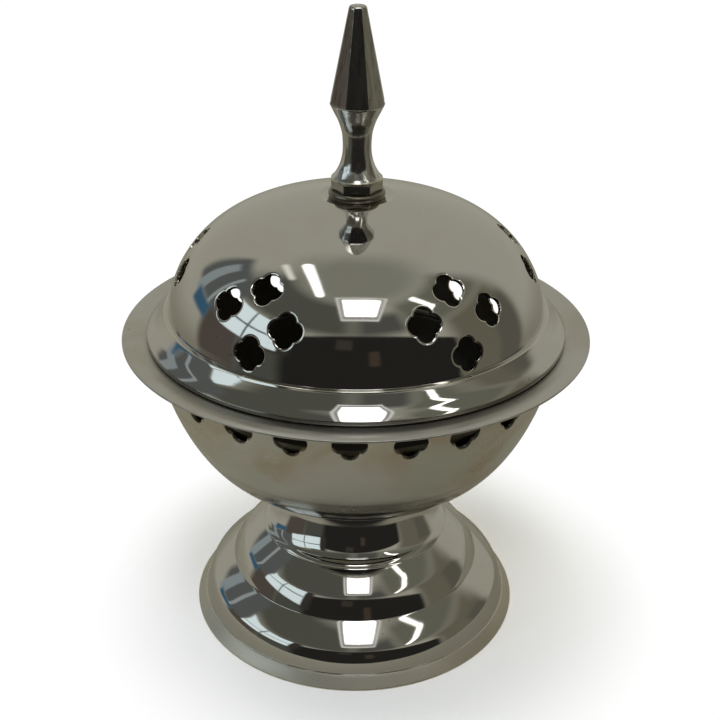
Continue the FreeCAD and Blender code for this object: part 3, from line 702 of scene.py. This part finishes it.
# the lid's rolled lower edge, z 110 to 113.2 mm, is painted near-black as a painted dark reflection
nickel_lid = plated("nickel_lid_polished", rough=0.035, uneven=0.03, spin=0.35, wave=0.35, wave_scale=26.0,
                    grain=0.12, tarnish=0.3, pits=0.4, seed=5.0, worn=0.35, painted_dark_zones=((110.0, 113.2, 0.25, 0.35, 1.0),))
nickel_turned = plated("nickel_finial", rough=0.12, uneven=0.07, spin=0.6, wave=0.3, wave_scale=120.0,
                       grain=0.25, tarnish=0.35, pits=0.4, seed=6.0, worn=0.7, drawn=1.0, facets=True)
nickel_collar = plated("nickel_collar_nut", base=(0.42, 0.40, 0.36), rough=0.16, uneven=0.08, spin=0.6, wave=0.3, wave_scale=120.0,
                       grain=0.3, tarnish=0.5, pits=0.6, seed=6.5, worn=0.45)
# the washer is painted near-black as painted shade in the gap under the hex nut
washer_painted_shade = plated("nickel_washer_painted_shade", base=(0.17, 0.155, 0.13), rough=0.26, uneven=0.12, spin=0.7, wave=0.2,
                     grain=0.4, tarnish=0.6, pits=0.8, seed=6.8, worn=0.12)
inside = plated("plated_inside_dull", base=(0.27, 0.235, 0.19), rough=0.5, uneven=0.2, spin=0.7, wave=0.2,
                tarnish=0.8, pits=0.9, grain=0.5, seed=7.0, worn=0.2)
pan_metal = plated("pan_sheet", base=(0.26, 0.24, 0.21), rough=0.42, uneven=0.2, spin=0.6, tarnish=0.8,
                   pits=0.9, grain=0.5, seed=8.0, worn=0.7)
raw_brass = plated("brass_raw", base=(0.62, 0.44, 0.19), rough=0.28, uneven=0.18, spin=0.7, tarnish=0.9,
                   pits=0.8, grain=0.4, seed=9.0, worn=0.2)
steel = plated("steel_hardware", base=(0.45, 0.45, 0.46), rough=0.33, uneven=0.15, spin=0.8, tarnish=0.7,
               pits=0.8, grain=0.4, seed=10.0, worn=0.1)

# ------------------------------------------------------------------ foot
N_AZ = 384
STEP2, STEP1 = (45.5, 18.7), (33.8, 32.5)
BAND2 = [(56.5, 4.4), (56.249, 5.349), (55.985, 6.294), (55.702, 7.233), (55.396, 8.165), (55.046, 9.103),
         (54.658, 10.003), (54.201, 10.87), (53.652, 11.681), (53.011, 12.42), (52.318, 13.111),
         (51.603, 13.779), (50.877, 14.435), (50.14, 15.078), (49.393, 15.71), (48.621, 16.342),
         (47.854, 16.95), (47.078, 17.545), (46.293, 18.128), STEP2]
BAND1 = [STEP2, (45.113, 19.578), (44.696, 20.464), (44.263, 21.321), (43.808, 22.165), (43.316, 23.012),
         (42.806, 23.825), (42.266, 24.618), (41.679, 25.402), (41.044, 26.122), (40.36, 26.794),
         (39.659, 27.449), (38.937, 28.112), (38.224, 28.754), (37.506, 29.39), (36.767, 30.033),
         (36.037, 30.656), (35.302, 31.273), (34.546, 31.896), STEP1]
FLARE = [(33.0, 33.85), (32.04, 34.52), (31.19, 35.37), (30.42, 36.29), (29.74, 37.27), (29.12, 38.3),
         (28.55, 39.36), (28.04, 40.44), (27.59, 41.55), (27.19, 42.68), (26.84, 43.83), (26.56, 45.0),
         (26.2, 46.6), (25.8, 48.2), (25.4, 49.6)]
rim_face, neck_r, neck_z = 57.8, 25.4, 50.6
band2, band1, flare = spline(BAND2, 60), spline(BAND1, 60), spline(FLARE, 56)
foot = Sheet()
az_foot = around(N_AZ)
rim = [(rim_face, 0.0), (FOOT_R - 0.4, 0.0), (FOOT_R, 0.4)]
rim = [rim[0]] + bend(rim[0], rim[1], rim[2], 0.3) + bend(rim[1], rim[2], (56.85, 4.3), 0.35)
slope = [(FOOT_R - 0.1 - 0.315 * k, 0.527 + 0.39 * k) for k in range(1, 9)]
lathe(foot, rim + slope + bend((59.0, 1.6), (56.85, 4.3), (56.5, 4.4), 0.25, 4), az_foot, mat=1)
top_of_rim = bend((59.0, 1.6), (56.85, 4.3), (56.5, 4.4), 0.25, 4)[-1]
lathe(foot, [top_of_rim] + bend(top_of_rim, (56.5, 4.4), band2[2], 0.22, 5) + band2[2:-2]
      + bend(band2[-3], STEP2, band1[2], 0.45, 7) + band1[2:-2]
      + bend(band1[-3], STEP1, (33.98, 32.85), 0.12, 5)
      + bend(STEP1, (33.98, 32.95), (33.0, 33.85), 0.22, 7) + flare[1:]
      + arc3(FLARE[-1], (neck_r - 0.3, neck_z - 0.3), (neck_r - 1.0, neck_z))[1:]
      + [(BOLT_R + 0.2, neck_z), (BOLT_R + 0.2, neck_z - FOOT_SHEET)], az_foot, mat=0)
i2, i1, fl = inset(BAND2, FOOT_SHEET), inset(BAND1, FOOT_SHEET), inset(FLARE, FOOT_SHEET)
lathe(foot, [(BOLT_R + 0.2, neck_z - FOOT_SHEET), (fl[-1][0], neck_z - FOOT_SHEET)] + spline(fl[::-1], 30)
      + spline(i1[::-1], 30) + spline(i2[::-1], 30) + [(rim_face - 1.6, 1.0), (rim_face, 1.0), (rim_face, 0.0)],
      az_foot, mat=2)
foot = foot.make("foot_shell", [nickel_foot, nickel_rim, inside])
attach(foot, "base")
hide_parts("foot")

# ------------------------------------------------------------------ collar under the bowl
collar = Sheet()
cr = 22.6
lathe(collar, [(BOLT_R + 0.2, neck_z), (cr - 1.4, neck_z)] + arc3((cr - 1.4, neck_z), (cr, (neck_z + BOWL_Z) / 2), (cr - 1.4, BOWL_Z), 15)[1:]
      + [(BOLT_R + 0.2, BOWL_Z), (BOLT_R + 0.2, neck_z)], around(144), closed=True)
collar = collar.make("collar_ring", [nickel_turned])
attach(collar, "base")
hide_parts("neck_collar")

# ------------------------------------------------------------------ bowl
sr, sz, snr, snz = superellipse(BOWL_A, BOWL_P, FLANGE_Z, -BOWL_B, BOWL_Q, 0.16, math.pi / 2 - 0.035)
sr, sz, snr, snz = sr[::-1], sz[::-1], snr[::-1], snz[::-1]      # from the bottom up
if snr[len(snr) // 2] < 0:
    snr, snz = -snr, -snz
upto = np.linspace(0, 1, 9)[1:]
sr, sz = np.r_[sr, sr[-1] + (70.9 - sr[-1]) * upto], np.r_[sz, sz[-1] + (FLANGE_Z - 1.0 - sz[-1]) * upto]
g_r, g_z = np.gradient(sr), np.gradient(sz)
g_m = np.hypot(g_r, g_z)
snr, snz = np.r_[snr[:-2], (g_z / g_m)[-10:]], np.r_[snz[:-2], (-g_r / g_m)[-10:]]
low = int(np.searchsorted(sz, 93.5))
high = len(sz) - 2
az_bowl = around(N_AZ, seam=-24.0)
bowl = Sheet()
under = FLANGE_Z - 1.0
out_low = [(BOLT_R + 0.2, BOWL_Z), (sr[0] - 4.0, BOWL_Z)]
flat = spline([(sr[0] - 4.0, BOWL_Z), (sr[0] - 2.0, BOWL_Z + 0.25 * (sz[0] - BOWL_Z)), (sr[0], sz[0])], 8)
lathe(bowl, out_low + flat[1:] + list(zip(sr[1:low + 1], sz[1:low + 1])), az_bowl, mat=0, wear_gain=0.0)
perforated(bowl, (sr[low:high + 1], sz[low:high + 1], snr[low:high + 1], snz[low:high + 1]), SHEET, BOWL_HOLES, az_bowl, mat=0, mat_in=2)
inner = [(a - SHEET * n, b - SHEET * m) for a, b, n, m in zip(sr, sz, snr, snz)]
lathe(bowl, list(zip(sr[high:], sz[high:])), az_bowl, mat=0)
top = FLANGE_Z
lathe(bowl, [(70.9, under), (72.3, under + 0.1)]
      + spline([(72.3, under + 0.1), (74.3, under + 0.22), (76.3, under + 0.42), (78.3, under + 0.55), (79.3, under + 0.58)], 14)[1:], az_bowl, mat=1)
lathe(bowl, arc3((79.3, under + 0.58), (FLANGE_R, under + 0.92), (79.6, top + 0.24), 16)
      + spline([(79.6, top + 0.24), (79.0, top + 0.46), (78.1, top + 0.61), (77.0, top + 0.62), (75.5, top + 0.44), (73.9, top + 0.16), (72.3, top)], 40)[1:]
      + [(71.0, top), (69.6, top)], az_bowl, mat=1, wear_gain=0.5)
lathe(bowl, [(69.6, FLANGE_Z), inner[-1]] + inner[::-1][1:len(inner) - high], az_bowl, mat=2)
lathe(bowl, inner[::-1][len(inner) - 1 - low:] + spline([inner[0], (inner[0][0] - 2.0, BOWL_Z + SHEET + 0.25 * (inner[0][1] - BOWL_Z - SHEET)), (inner[0][0] - 4.0, BOWL_Z + SHEET)], 8)[1:]
      + [(BOLT_R + 0.2, BOWL_Z + SHEET), (BOLT_R + 0.2, BOWL_Z)], az_bowl, mat=2)
bowl = bowl.make("bowl_shell", [nickel_bowl, nickel_flange, inside])
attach(bowl, "base")
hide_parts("bowl")

# ------------------------------------------------------------------ lid
dr, dz_, dnr, dnz = superellipse(DOME_A, DOME_P, DOME_Z, DOME_B, DOME_Q, 0.10, math.pi / 2 - 0.08)
if dnr[0] < 0:
    dnr, dnz = -dnr, -dnz
# rounder crown: takes over where the slope is 0.333 and ends at the washer's land
last = int(np.argmax(dnr / dnz <= 0.333)) - 1
r0, z0, k0 = dr[last], dz_[last], dnr[last] / dnz[last]
c_r = np.linspace(r0, 12.4, int((r0 - 12.4) / 0.35) + 2)[1:]
c_z = z0 + k0 * r0 / 1.7 * (1 - (c_r / r0) ** 1.7)
c_k = k0 * (c_r / r0) ** 0.7
dr, dz_ = np.r_[dr[:last + 1], c_r], np.r_[dz_[:last + 1], c_z]
dnr, dnz = np.r_[dnr[:last + 1], c_k / np.hypot(c_k, 1)], np.r_[dnz[:last + 1], 1 / np.hypot(c_k, 1)]
upto = np.linspace(0, 1, 9)[:-1]
dr, dz_ = np.r_[DOME_A + 0.12 + (dr[0] - DOME_A - 0.12) * upto, dr], np.r_[DOME_Z + 0.03 + (dz_[0] - DOME_Z - 0.03) * upto, dz_]
g_r, g_z = np.gradient(dr), np.gradient(dz_)
g_m = np.hypot(g_r, g_z)
dnr, dnz = np.r_[(g_z / g_m)[:10], dnr[2:]], np.r_[(-g_r / g_m)[:10], dnz[2:]]
d_in = [(a - SHEET * n, b - SHEET * m) for a, b, n, m in zip(dr, dz_, dnr, dnz)]
lo = 0
hi = int(np.searchsorted(dz_, 150.5))
SKIRT = [(65.56, 119.62), (65.934, 119.134), (66.312, 118.651), (66.692, 118.17), (67.076, 117.691),
         (67.463, 117.215), (67.853, 116.741), (68.255, 116.279), (68.676, 115.833), (69.115, 115.404),
         (69.571, 114.994), (70.028, 114.584), (70.477, 114.167), (70.918, 113.741), (71.36, 113.3)]
skirt = spline(SKIRT, 50)
skirt_in = inset(SKIRT[::-1], SHEET)[::-1][:-1]
skirt_in[0] = (LEDGE_R - 0.81, DOME_Z - SHEET)
az_lid = around(N_AZ, seam=-122.0)
lid = Sheet()
edge = [(RING_R, LID_Z)] + bend((RING_R, LID_Z), (SKIRT_R, LID_Z), (SKIRT_R, 112.3), 0.3, 8)
edge += bend((SKIRT_R, 112.4), (SKIRT_R, 113.1), skirt[-6], 0.42, 9)
lathe(lid, edge + skirt[::-1][6:-3] + bend(skirt[3], (LEDGE_R - 0.05, DOME_Z - 0.02), (DOME_A + 0.5, DOME_Z), 0.4, 8)
      + [(DOME_A + 0.4, DOME_Z), (DOME_A + 0.2, DOME_Z + 0.01), (dr[0], dz_[0])], az_lid, mat=0)
perforated(lid, (dr[lo:hi + 1], dz_[lo:hi + 1], dnr[lo:hi + 1], dnz[lo:hi + 1]), SHEET, LID_HOLES, az_lid, mat=0, mat_in=1)
hole = STUD_R + 0.2
lathe(lid, list(zip(dr[hi:], dz_[hi:])) + spline([(dr[-1], dz_[-1]), (dr[-1] - 1.5, DOME_TOP + 0.3 * (dz_[-1] - DOME_TOP)), (dr[-1] - 3.0, DOME_TOP)], 8)[1:]
      + [(hole, DOME_TOP), (hole, DOME_TOP - SHEET)], az_lid, mat=0, wear_gain=0.0)
top_i = DOME_TOP - SHEET
lathe(lid, [(hole, top_i), (d_in[-1][0] - 3.0, top_i)] + spline([(d_in[-1][0] - 3.0, top_i), (d_in[-1][0] - 1.5, top_i + 0.3 * (d_in[-1][1] - top_i)), d_in[-1]], 8)[1:]
      + d_in[::-1][1:len(d_in) - hi], az_lid, mat=1)
lathe(lid, d_in[::-1][len(d_in) - 1 - lo:] + [(d_in[0][0], DOME_Z - SHEET)] + skirt_in
      + [(RING_R, 112.9), (RING_R, LID_Z)], az_lid, mat=1)
lid = lid.make("lid_shell", [nickel_lid, inside])
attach(lid, "lid")
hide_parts("lid_dome")

# ------------------------------------------------------------------ finial
TIP_Z, TIP_AP, GIRDLE_AP, GIRDLE_Z, GIRDLE_LOW = 219.4, 2.65, 8.6, 189.6, 188.7
WAIST = [(188.3, 8.62), (185.4, 7.15), (183.4, 6.18), (181.5, 5.52), (179.5, 4.98),
         (177.5, 4.76), (175.5, 4.66), (173.5, 4.70), (171.5, 4.98), (169.5, 5.50),
         (167.5, 6.35), (165.5, 7.55)]
BASE_R, BASE_Z, HEX_AF, HEX_LOW, WASHER_R = 8.5, 163.9, 14.8, 160.5, 9.4
spire = Sheet()
k_ap = (GIRDLE_AP - TIP_AP) / (TIP_Z - GIRDLE_Z)
ap_at = lambda z: GIRDLE_AP - k_ap * (z - GIRDLE_Z)
rows = [(GIRDLE_LOW + 0.12, GIRDLE_AP, 8.86), (GIRDLE_LOW + 0.4, GIRDLE_AP, 9.03), (GIRDLE_LOW + 0.7, GIRDLE_AP, 9.2), (GIRDLE_Z, GIRDLE_AP, None)]
rows += [(GIRDLE_Z + (218.2 - GIRDLE_Z) * k / 12, ap_at(GIRDLE_Z + (218.2 - GIRDLE_Z) * k / 12), None) for k in range(1, 13)]
P = faceted(spire, 8, rows, 0.28)
girdle_ring = P[0]
# rounded tip
ring = P[-1]
az16 = np.arctan2(ring[:, 1], ring[:, 0])
rad0 = np.hypot(ring[:, 0], ring[:, 1])
tips = [(218.2, 1.0, 0.0), (218.55, 0.97, 0.35), (218.85, 0.92, 0.7), (219.1, 0.84, 0.9), (219.28, 0.74, 1.0), (219.37, 0.64, 1.0), (219.4, 0.5, 1.0), (219.4, 0.0, 1.0)]
tip_rows = []
for z, q, roundness in tips:
    rr = (rad0 * (1 - roundness) + rad0.mean() * roundness) * q
    tip_rows.append(np.stack([rr * np.cos(az16), rr * np.sin(az16), np.full(16, z)], -1))
tip_rows = np.array(tip_rows)
T = tip_rows.reshape(-1, 3)
grad = np.gradient(tip_rows, axis=0)
side = np.roll(tip_rows, -1, 1) - np.roll(tip_rows, 1, 1)
nn = np.cross(side, grad)
nn[-1] = (0, 0, 1)
nn[-2] = (0, 0, 1)
ln = np.linalg.norm(nn, axis=-1, keepdims=True)
nn = (nn / np.maximum(ln, 1e-9)).reshape(-1, 3)
j = np.arange(16)
k = (j + 1) % 16
q = np.concatenate([np.stack([i * 16 + j, i * 16 + k, (i + 1) * 16 + k, (i + 1) * 16 + j], -1) for i in range(len(tips) - 1)])
spire.add(T, [q], [nn[q]], np.zeros(len(T)))
waist = [(r_, z_) for z_, r_ in WAIST]
turned = [(STUD_R + 0.02, BASE_Z), (BASE_R - 0.3, BASE_Z)] + bend((BASE_R - 0.3, BASE_Z), (BASE_R, BASE_Z), (BASE_R, BASE_Z + 0.7), 0.28, 5)
turned += bend((BASE_R, BASE_Z + 0.3), (BASE_R, BASE_Z + 0.72), waist[-1], 0.3, 5)
turned += spline(waist[::-1], 60) + [(8.78, GIRDLE_LOW + 0.1), (8.865, GIRDLE_LOW + 0.12)]
lathe(spire, turned, around(128))
ledge_az = around(128)
stitch(spire, np.stack([8.865 * np.cos(ledge_az), 8.865 * np.sin(ledge_az), np.full(128, GIRDLE_LOW + 0.12)], -1), girdle_ring)
lathe(spire, [(0.0, 176.5), (STUD_R + 0.02, 176.5), (STUD_R + 0.02, BASE_Z)], around(128))
spire = spire.make("finial_body", [nickel_turned])
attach(spire, "lid")
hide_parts("finial_spire")

hexc = Sheet()
hr = [(HEX_LOW, HEX_AF / 2 - 0.25, 7.95), (HEX_LOW + 0.3, HEX_AF / 2, 8.3), (HEX_LOW + 0.6, HEX_AF / 2, None),
      (BASE_Z - 0.6, HEX_AF / 2, None), (BASE_Z - 0.3, HEX_AF / 2, 8.3), (BASE_Z, HEX_AF / 2 - 0.25, 7.95)]
P = faceted(hexc, 6, hr, 0.22, first=-90.0)
bore_top = cap(hexc, P[-1], BASE_Z, hole=STUD_R + 0.02)
bore_low = cap(hexc, P[0], HEX_LOW, down=True, hole=STUD_R + 0.02)
M = len(bore_top)
j = np.arange(M)
k = (j + 1) % M
q = np.stack([k, j, M + j, M + k], -1)
nn = np.concatenate([bore_low, bore_top]) * (-1, -1, 0) / (STUD_R + 0.02)
hexc.add(np.concatenate([bore_low, bore_top]), [q], [nn[q]], np.zeros(2 * M))
hexc = hexc.make("finial_nut", [nickel_collar])
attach(hexc, "lid")
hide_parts("finial_hex_collar")

wash = Sheet()
lathe(wash, [(STUD_R + 0.1, DOME_TOP), (WASHER_R - 0.5, DOME_TOP)] + arc3((WASHER_R - 0.5, DOME_TOP), (WASHER_R, (DOME_TOP + HEX_LOW) / 2), (WASHER_R - 0.7, HEX_LOW), 15)[1:]
      + [(STUD_R + 0.1, HEX_LOW), (STUD_R + 0.1, DOME_TOP)], around(128), closed=True)
wash = wash.make("finial_disc", [washer_painted_shade])
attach(wash, "lid")
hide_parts("finial_washer")

# ------------------------------------------------------------------ charcoal pan
PAN_FLOOR_Z, PAN_FLOOR_R, PAN_CORNER, PAN_RIM_R, PAN_RIM_Z, BEAD = 59.4, 39.6, 3.0, 57.5, 94.0, 1.15
PC_Z = PAN_FLOOR_Z + PAN_CORNER
bead_c = (PAN_RIM_R - BEAD, PAN_RIM_Z - BEAD)
k45 = math.sqrt(0.5)


def pan_wall(off):
    x0, z0 = PAN_FLOOR_R + PAN_CORNER - off, PC_Z
    x1, z1 = bead_c[0] - off, bead_c[1]
    return [(x0 + (x1 - x0) * u + 1.9 * math.sin(math.pi * u * 0.98), z0 + (z1 - z0) * u) for u in np.linspace(0, 1, 40)]


pan = Sheet()
wo, wi = pan_wall(0.0), pan_wall(PAN_SHEET)
wo_top, wi_top = [p for p in wo if p[1] < bead_c[1] - 0.95], [p for p in wi if p[1] < bead_c[1] - 0.95]
bead_arc = [(bead_c[0] + BEAD * math.cos(t), bead_c[1] + BEAD * math.sin(t)) for t in np.radians(np.linspace(-78, 232, 26))]
lathe(pan, [(0.0, PAN_FLOOR_Z), (PAN_FLOOR_R, PAN_FLOOR_Z)]
      + arc3((PAN_FLOOR_R, PAN_FLOOR_Z), (PAN_FLOOR_R + PAN_CORNER * k45, PC_Z - PAN_CORNER * k45), wo[0], 9)[1:]
      + wo_top[1:] + bead_arc + wi_top[::-1]
      + arc3(wi[0], (PAN_FLOOR_R + (PAN_CORNER - PAN_SHEET) * k45, PC_Z - (PAN_CORNER - PAN_SHEET) * k45), (PAN_FLOOR_R, PAN_FLOOR_Z + PAN_SHEET), 9)[1:]
      + [(PAN_FLOOR_R * q, PAN_FLOOR_Z + PAN_SHEET) for q in (0.75, 0.5, 0.25, 0.0)], around(180))
pan = pan.make("pan_body", [pan_metal])
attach(pan, "pan")
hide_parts("charcoal_pan")

# ------------------------------------------------------------------ small parts kept from the CAD model
for node, mat in {"locating_ring": inside, "bowl_washer": steel, "pedestal_bolt": steel, "foot_washer": steel,
                  "foot_wing_nut": raw_brass, "finial_stud": raw_brass, "lid_washer": steel, "lid_nut": steel}.items():
    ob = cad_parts[node]
    if not ob.material_slots:
        ob.data.materials.append(mat)
    for s_ in ob.material_slots:
        s_.material = mat

# ------------------------------------------------------------------ floor
floor_mesh = bpy.data.meshes.new("floor")
floor_mesh.from_pydata([(-9, -9, 0), (9, -9, 0), (9, 9, 0), (-9, 9, 0)], [], [(0, 1, 2, 3)])
floor = bpy.data.objects.new("floor", floor_mesh)
scene.collection.objects.link(floor)
fm = bpy.data.materials.new("studio_floor")
fm.use_nodes = True
g = Nodes(fm.node_tree)
out = g.new("ShaderNodeOutputMaterial")
path = g.new("ShaderNodeLightPath")
white = g.new("ShaderNodeBsdfDiffuse")
white.inputs["Color"].default_value = (2.46, 2.46, 2.66, 1)
glow = g.new("ShaderNodeEmission")
glow.inputs["Color"].default_value = (1, 1, 1, 1)
glow.inputs["Strength"].default_value = 0.0
seen = g.new("ShaderNodeAddShader")
g.t.links.new(white.outputs[0], seen.inputs[0])
g.t.links.new(glow.outputs[0], seen.inputs[1])
fx, fy, fz = g.separate(g.new("ShaderNodeTexCoord").outputs["Object"])
fr = g.math("SQRT", g.math("ADD", g.math("MULTIPLY", fx, fx), g.math("MULTIPLY", fy, fy)))
paper = g.new("ShaderNodeEmission")
paper.inputs["Color"].default_value = (1, 1, 1, 1)
paper.inputs["Strength"].default_value = 1.03
fade = g.new("ShaderNodeMixShader")
off = g.math("SUBTRACT", fx, 0.008)
g.put(fade.inputs[0], g.step(g.math("SQRT", g.math("ADD", g.math("MULTIPLY", off, off), g.math("MULTIPLY", fy, fy))), 0.064, 0.120))
g.t.links.new(seen.outputs[0], fade.inputs[1])
g.t.links.new(paper.outputs[0], fade.inputs[2])
seen = fade
table = g.new("ShaderNodeBsdfDiffuse")
shade = g.step(fx, -0.02, 0.16)
g.put(table.inputs["Color"], g.mix(shade, (0.90, 0.865, 0.76, 1), (0.72, 0.69, 0.60, 1)))
clear = g.new("ShaderNodeBsdfTransparent")
near = g.new("ShaderNodeMixShader")
g.put(near.inputs[0], g.step(fr, 0.23, 0.30))
g.t.links.new(table.outputs[0], near.inputs[1])
g.t.links.new(clear.outputs[0], near.inputs[2])
mixf = g.new("ShaderNodeMixShader")
g.put(mixf.inputs[0], path.outputs["Is Camera Ray"])
g.t.links.new(near.outputs[0], mixf.inputs[1])
g.t.links.new(seen.outputs[0], mixf.inputs[2])
g.t.links.new(mixf.outputs[0], out.inputs[0])
floor_mesh.materials.append(fm)

# ------------------------------------------------------------------ studio light: soft panels around the object
world = bpy.data.worlds.new("studio")
scene.world = world
world.use_nodes = True
g = Nodes(world.node_tree)
out = g.new("ShaderNodeOutputWorld")
d = g.new("ShaderNodeTexCoord").outputs["Generated"]
x, y, z = g.separate(d)
az = g.math("MULTIPLY", g.math("ARCTAN2", x, g.math("MULTIPLY", y, -1.0)), 180 / math.pi)
el = g.math("MULTIPLY", g.math("ARCSINE", g.math("MINIMUM", g.math("MAXIMUM", z, -1.0), 1.0)), 180 / math.pi)
GAIN = 1 / 0.63


def tone(r, gg, b, k=1.0):
    return rgb(r, gg, b, GAIN * k)


def panel(col, a0, a1, e0, e1, colour, sa=2.0, se=2.0, weight=1.0):
    ma = g.math("MULTIPLY", g.step(az, a0 - sa, a0 + sa), g.step(az, a1 - sa, a1 + sa, 1.0, 0.0))
    me = g.math("MULTIPLY", g.step(el, e0 - se, e0 + se), g.step(el, e1 - se, e1 + se, 1.0, 0.0))
    f = g.math("MULTIPLY", g.math("MULTIPLY", ma, me), weight)
    return g.mix(f, col, colour)


col = g.mix(g.step(el, -20.0, 5.0), tone(112, 110, 98), tone(140, 139, 128))
col = g.mix(g.step(el, 55.0, 75.0), col, tone(113, 113, 103))
# ceiling
col = panel(col, -110, 0, 36, 66, tone(70, 71, 64), 14, 5)
col = panel(col, 0, 38, 36, 56, tone(70, 70, 66), 8, 5)
col = panel(col, 38, 112, 36, 62, tone(90, 90, 80), 8, 5)
# sides
col = panel(col, 62, 112, -32, 36, tone(90, 88, 76), 8, 5)
col = panel(col, 92, 112, -26, 24, tone(78, 77, 68), 4, 6)
col = panel(col, -104, -72, -18, 24, tone(70, 64, 59), 4, 4)
col = panel(col, -74, -36, -34, 30, tone(64, 66, 60), 4, 4)
col = panel(col, -38, -24, -34, 6, tone(75, 75, 68), 3, 4)
# dark wall behind the camera: its top edge is straight, so it drops away to both sides
front = g.math("MULTIPLY", y, -1.0)
rise = g.math("DIVIDE", z, g.math("MAXIMUM", front, 0.02))
wall = g.math("MULTIPLY", g.step(rise, 0.71, 0.79, 1.0, 0.0), g.step(el, -38.0, -32.0))
wall = g.math("MULTIPLY", wall, g.math("MULTIPLY", g.step(az, -50.0, -40.0), g.step(az, 60.0, 66.0, 1.0, 0.0)))
col = g.mix(wall, col, tone(31, 30, 28))
col = panel(col, -62, -40, 10, 37, tone(46, 44, 41), 3, 2)
col = panel(col, -12, -2, 24, 33, tone(50, 47, 43), 1.5, 1.5)
col = panel(col, 8, 14, 8, 22, tone(58, 50, 42), 1.5, 1.5)
# left: grey wall, racks and a doorway
col = panel(col, -130, -90, 14, 46, tone(76, 79, 78), 3, 3)
col = panel(col, -124, -117, 10, 40, tone(120, 128, 130), 0.8, 2)
col = panel(col, -108, -105.5, 12, 42, tone(130, 136, 138), 0.6, 2)
col = panel(col, -90, -48, 12, 35, tone(200, 214, 217), 1.2, 0.8)
col = panel(col, -72, -70.5, 12, 35, tone(90, 96, 98), 0.6, 1.0)
col = panel(col, -90, -48, 22.5, 24, tone(90, 96, 98), 1.2, 0.6)
col = panel(col, -120, -102, 5, 14, tone(49, 79, 100), 2, 2)
# overhead panels, laid out on the ceiling plane
up = g.math("MAXIMUM", z, 0.05)
cx, cy = g.math("DIVIDE", x, up), g.math("DIVIDE", y, up)
above = g.step(z, 0.25, 0.4)


def overhead(col, x0, x1, y0, y1, colour, soft=0.012):
    mx = g.math("MULTIPLY", g.step(cx, x0 - soft, x0 + soft), g.step(cx, x1 - soft, x1 + soft, 1.0, 0.0))
    my = g.math("MULTIPLY", g.step(cy, y0 - soft, y0 + soft), g.step(cy, y1 - soft, y1 + soft, 1.0, 0.0))
    return g.mix(g.math("MULTIPLY", g.math("MULTIPLY", mx, my), above), col, colour)


def tube(col, ax, ay, bx, by, half, colour, soft=0.02):
    dx, dy = bx - ax, by - ay
    px, py = g.math("SUBTRACT", cx, ax), g.math("SUBTRACT", cy, ay)
    t = g.math("DIVIDE", g.math("ADD", g.math("MULTIPLY", px, dx), g.math("MULTIPLY", py, dy)), dx * dx + dy * dy)
    t = g.math("MINIMUM", g.math("MAXIMUM", t, 0.0), 1.0)
    qx, qy = g.math("SUBTRACT", px, g.math("MULTIPLY", t, dx)), g.math("SUBTRACT", py, g.math("MULTIPLY", t, dy))
    far = g.math("SQRT", g.math("ADD", g.math("MULTIPLY", qx, qx), g.math("MULTIPLY", qy, qy)))
    return g.mix(g.math("MULTIPLY", g.step(far, half - soft, half + soft, 1.0, 0.0), above), col, colour)


col = overhead(col, -0.17, 0.27, -0.82, -0.30, tone(190, 190, 185))
col = overhead(col, -0.145, 0.245, -0.77, -0.322, tone(125, 125, 122))
col = overhead(col, -0.115, 0.215, -0.70, -0.345, (3.2, 3.25, 3.2, 1))
col = tube(col, -0.30, -0.24, -0.30, 0.30, 0.036, (3.0, 3.0, 2.9, 1))
col = tube(col, -0.47, 0.10, -0.47, 0.34, 0.03, tone(205, 205, 195), 0.03)
col = tube(col, 0.50, -0.27, 0.79, -0.35, 0.032, (2.6, 2.6, 2.45, 1))
col = tube(col, 0.79, -0.35, 0.84, -0.84, 0.045, (2.6, 2.6, 2.45, 1))
path = g.new("ShaderNodeLightPath")
bg = g.new("ShaderNodeBackground")
g.put(bg.inputs[0], g.mix(path.outputs["Is Camera Ray"], col, (1.0, 1.0, 1.0, 1)))
g.t.links.new(bg.outputs[0], out.inputs[0])
world.cycles.sampling_method = "MANUAL"
world.cycles.sample_map_resolution = 1024

# ------------------------------------------------------------------ camera
cam = bpy.data.objects.new("camera", bpy.data.cameras.new("camera"))
scene.collection.objects.link(cam)
cam.data.sensor_width = 36.0
cam.data.lens = 60.547
cam.data.clip_start = 0.01
cam.data.clip_end = 50.0
cam.matrix_world = (Matrix.Translation((0.00145, -0.37985, 0.29007))
                    @ Matrix.Rotation(rad(90.0 - 26.893), 4, "X") @ Matrix.Rotation(0.00772, 4, "Z"))
scene.camera = cam
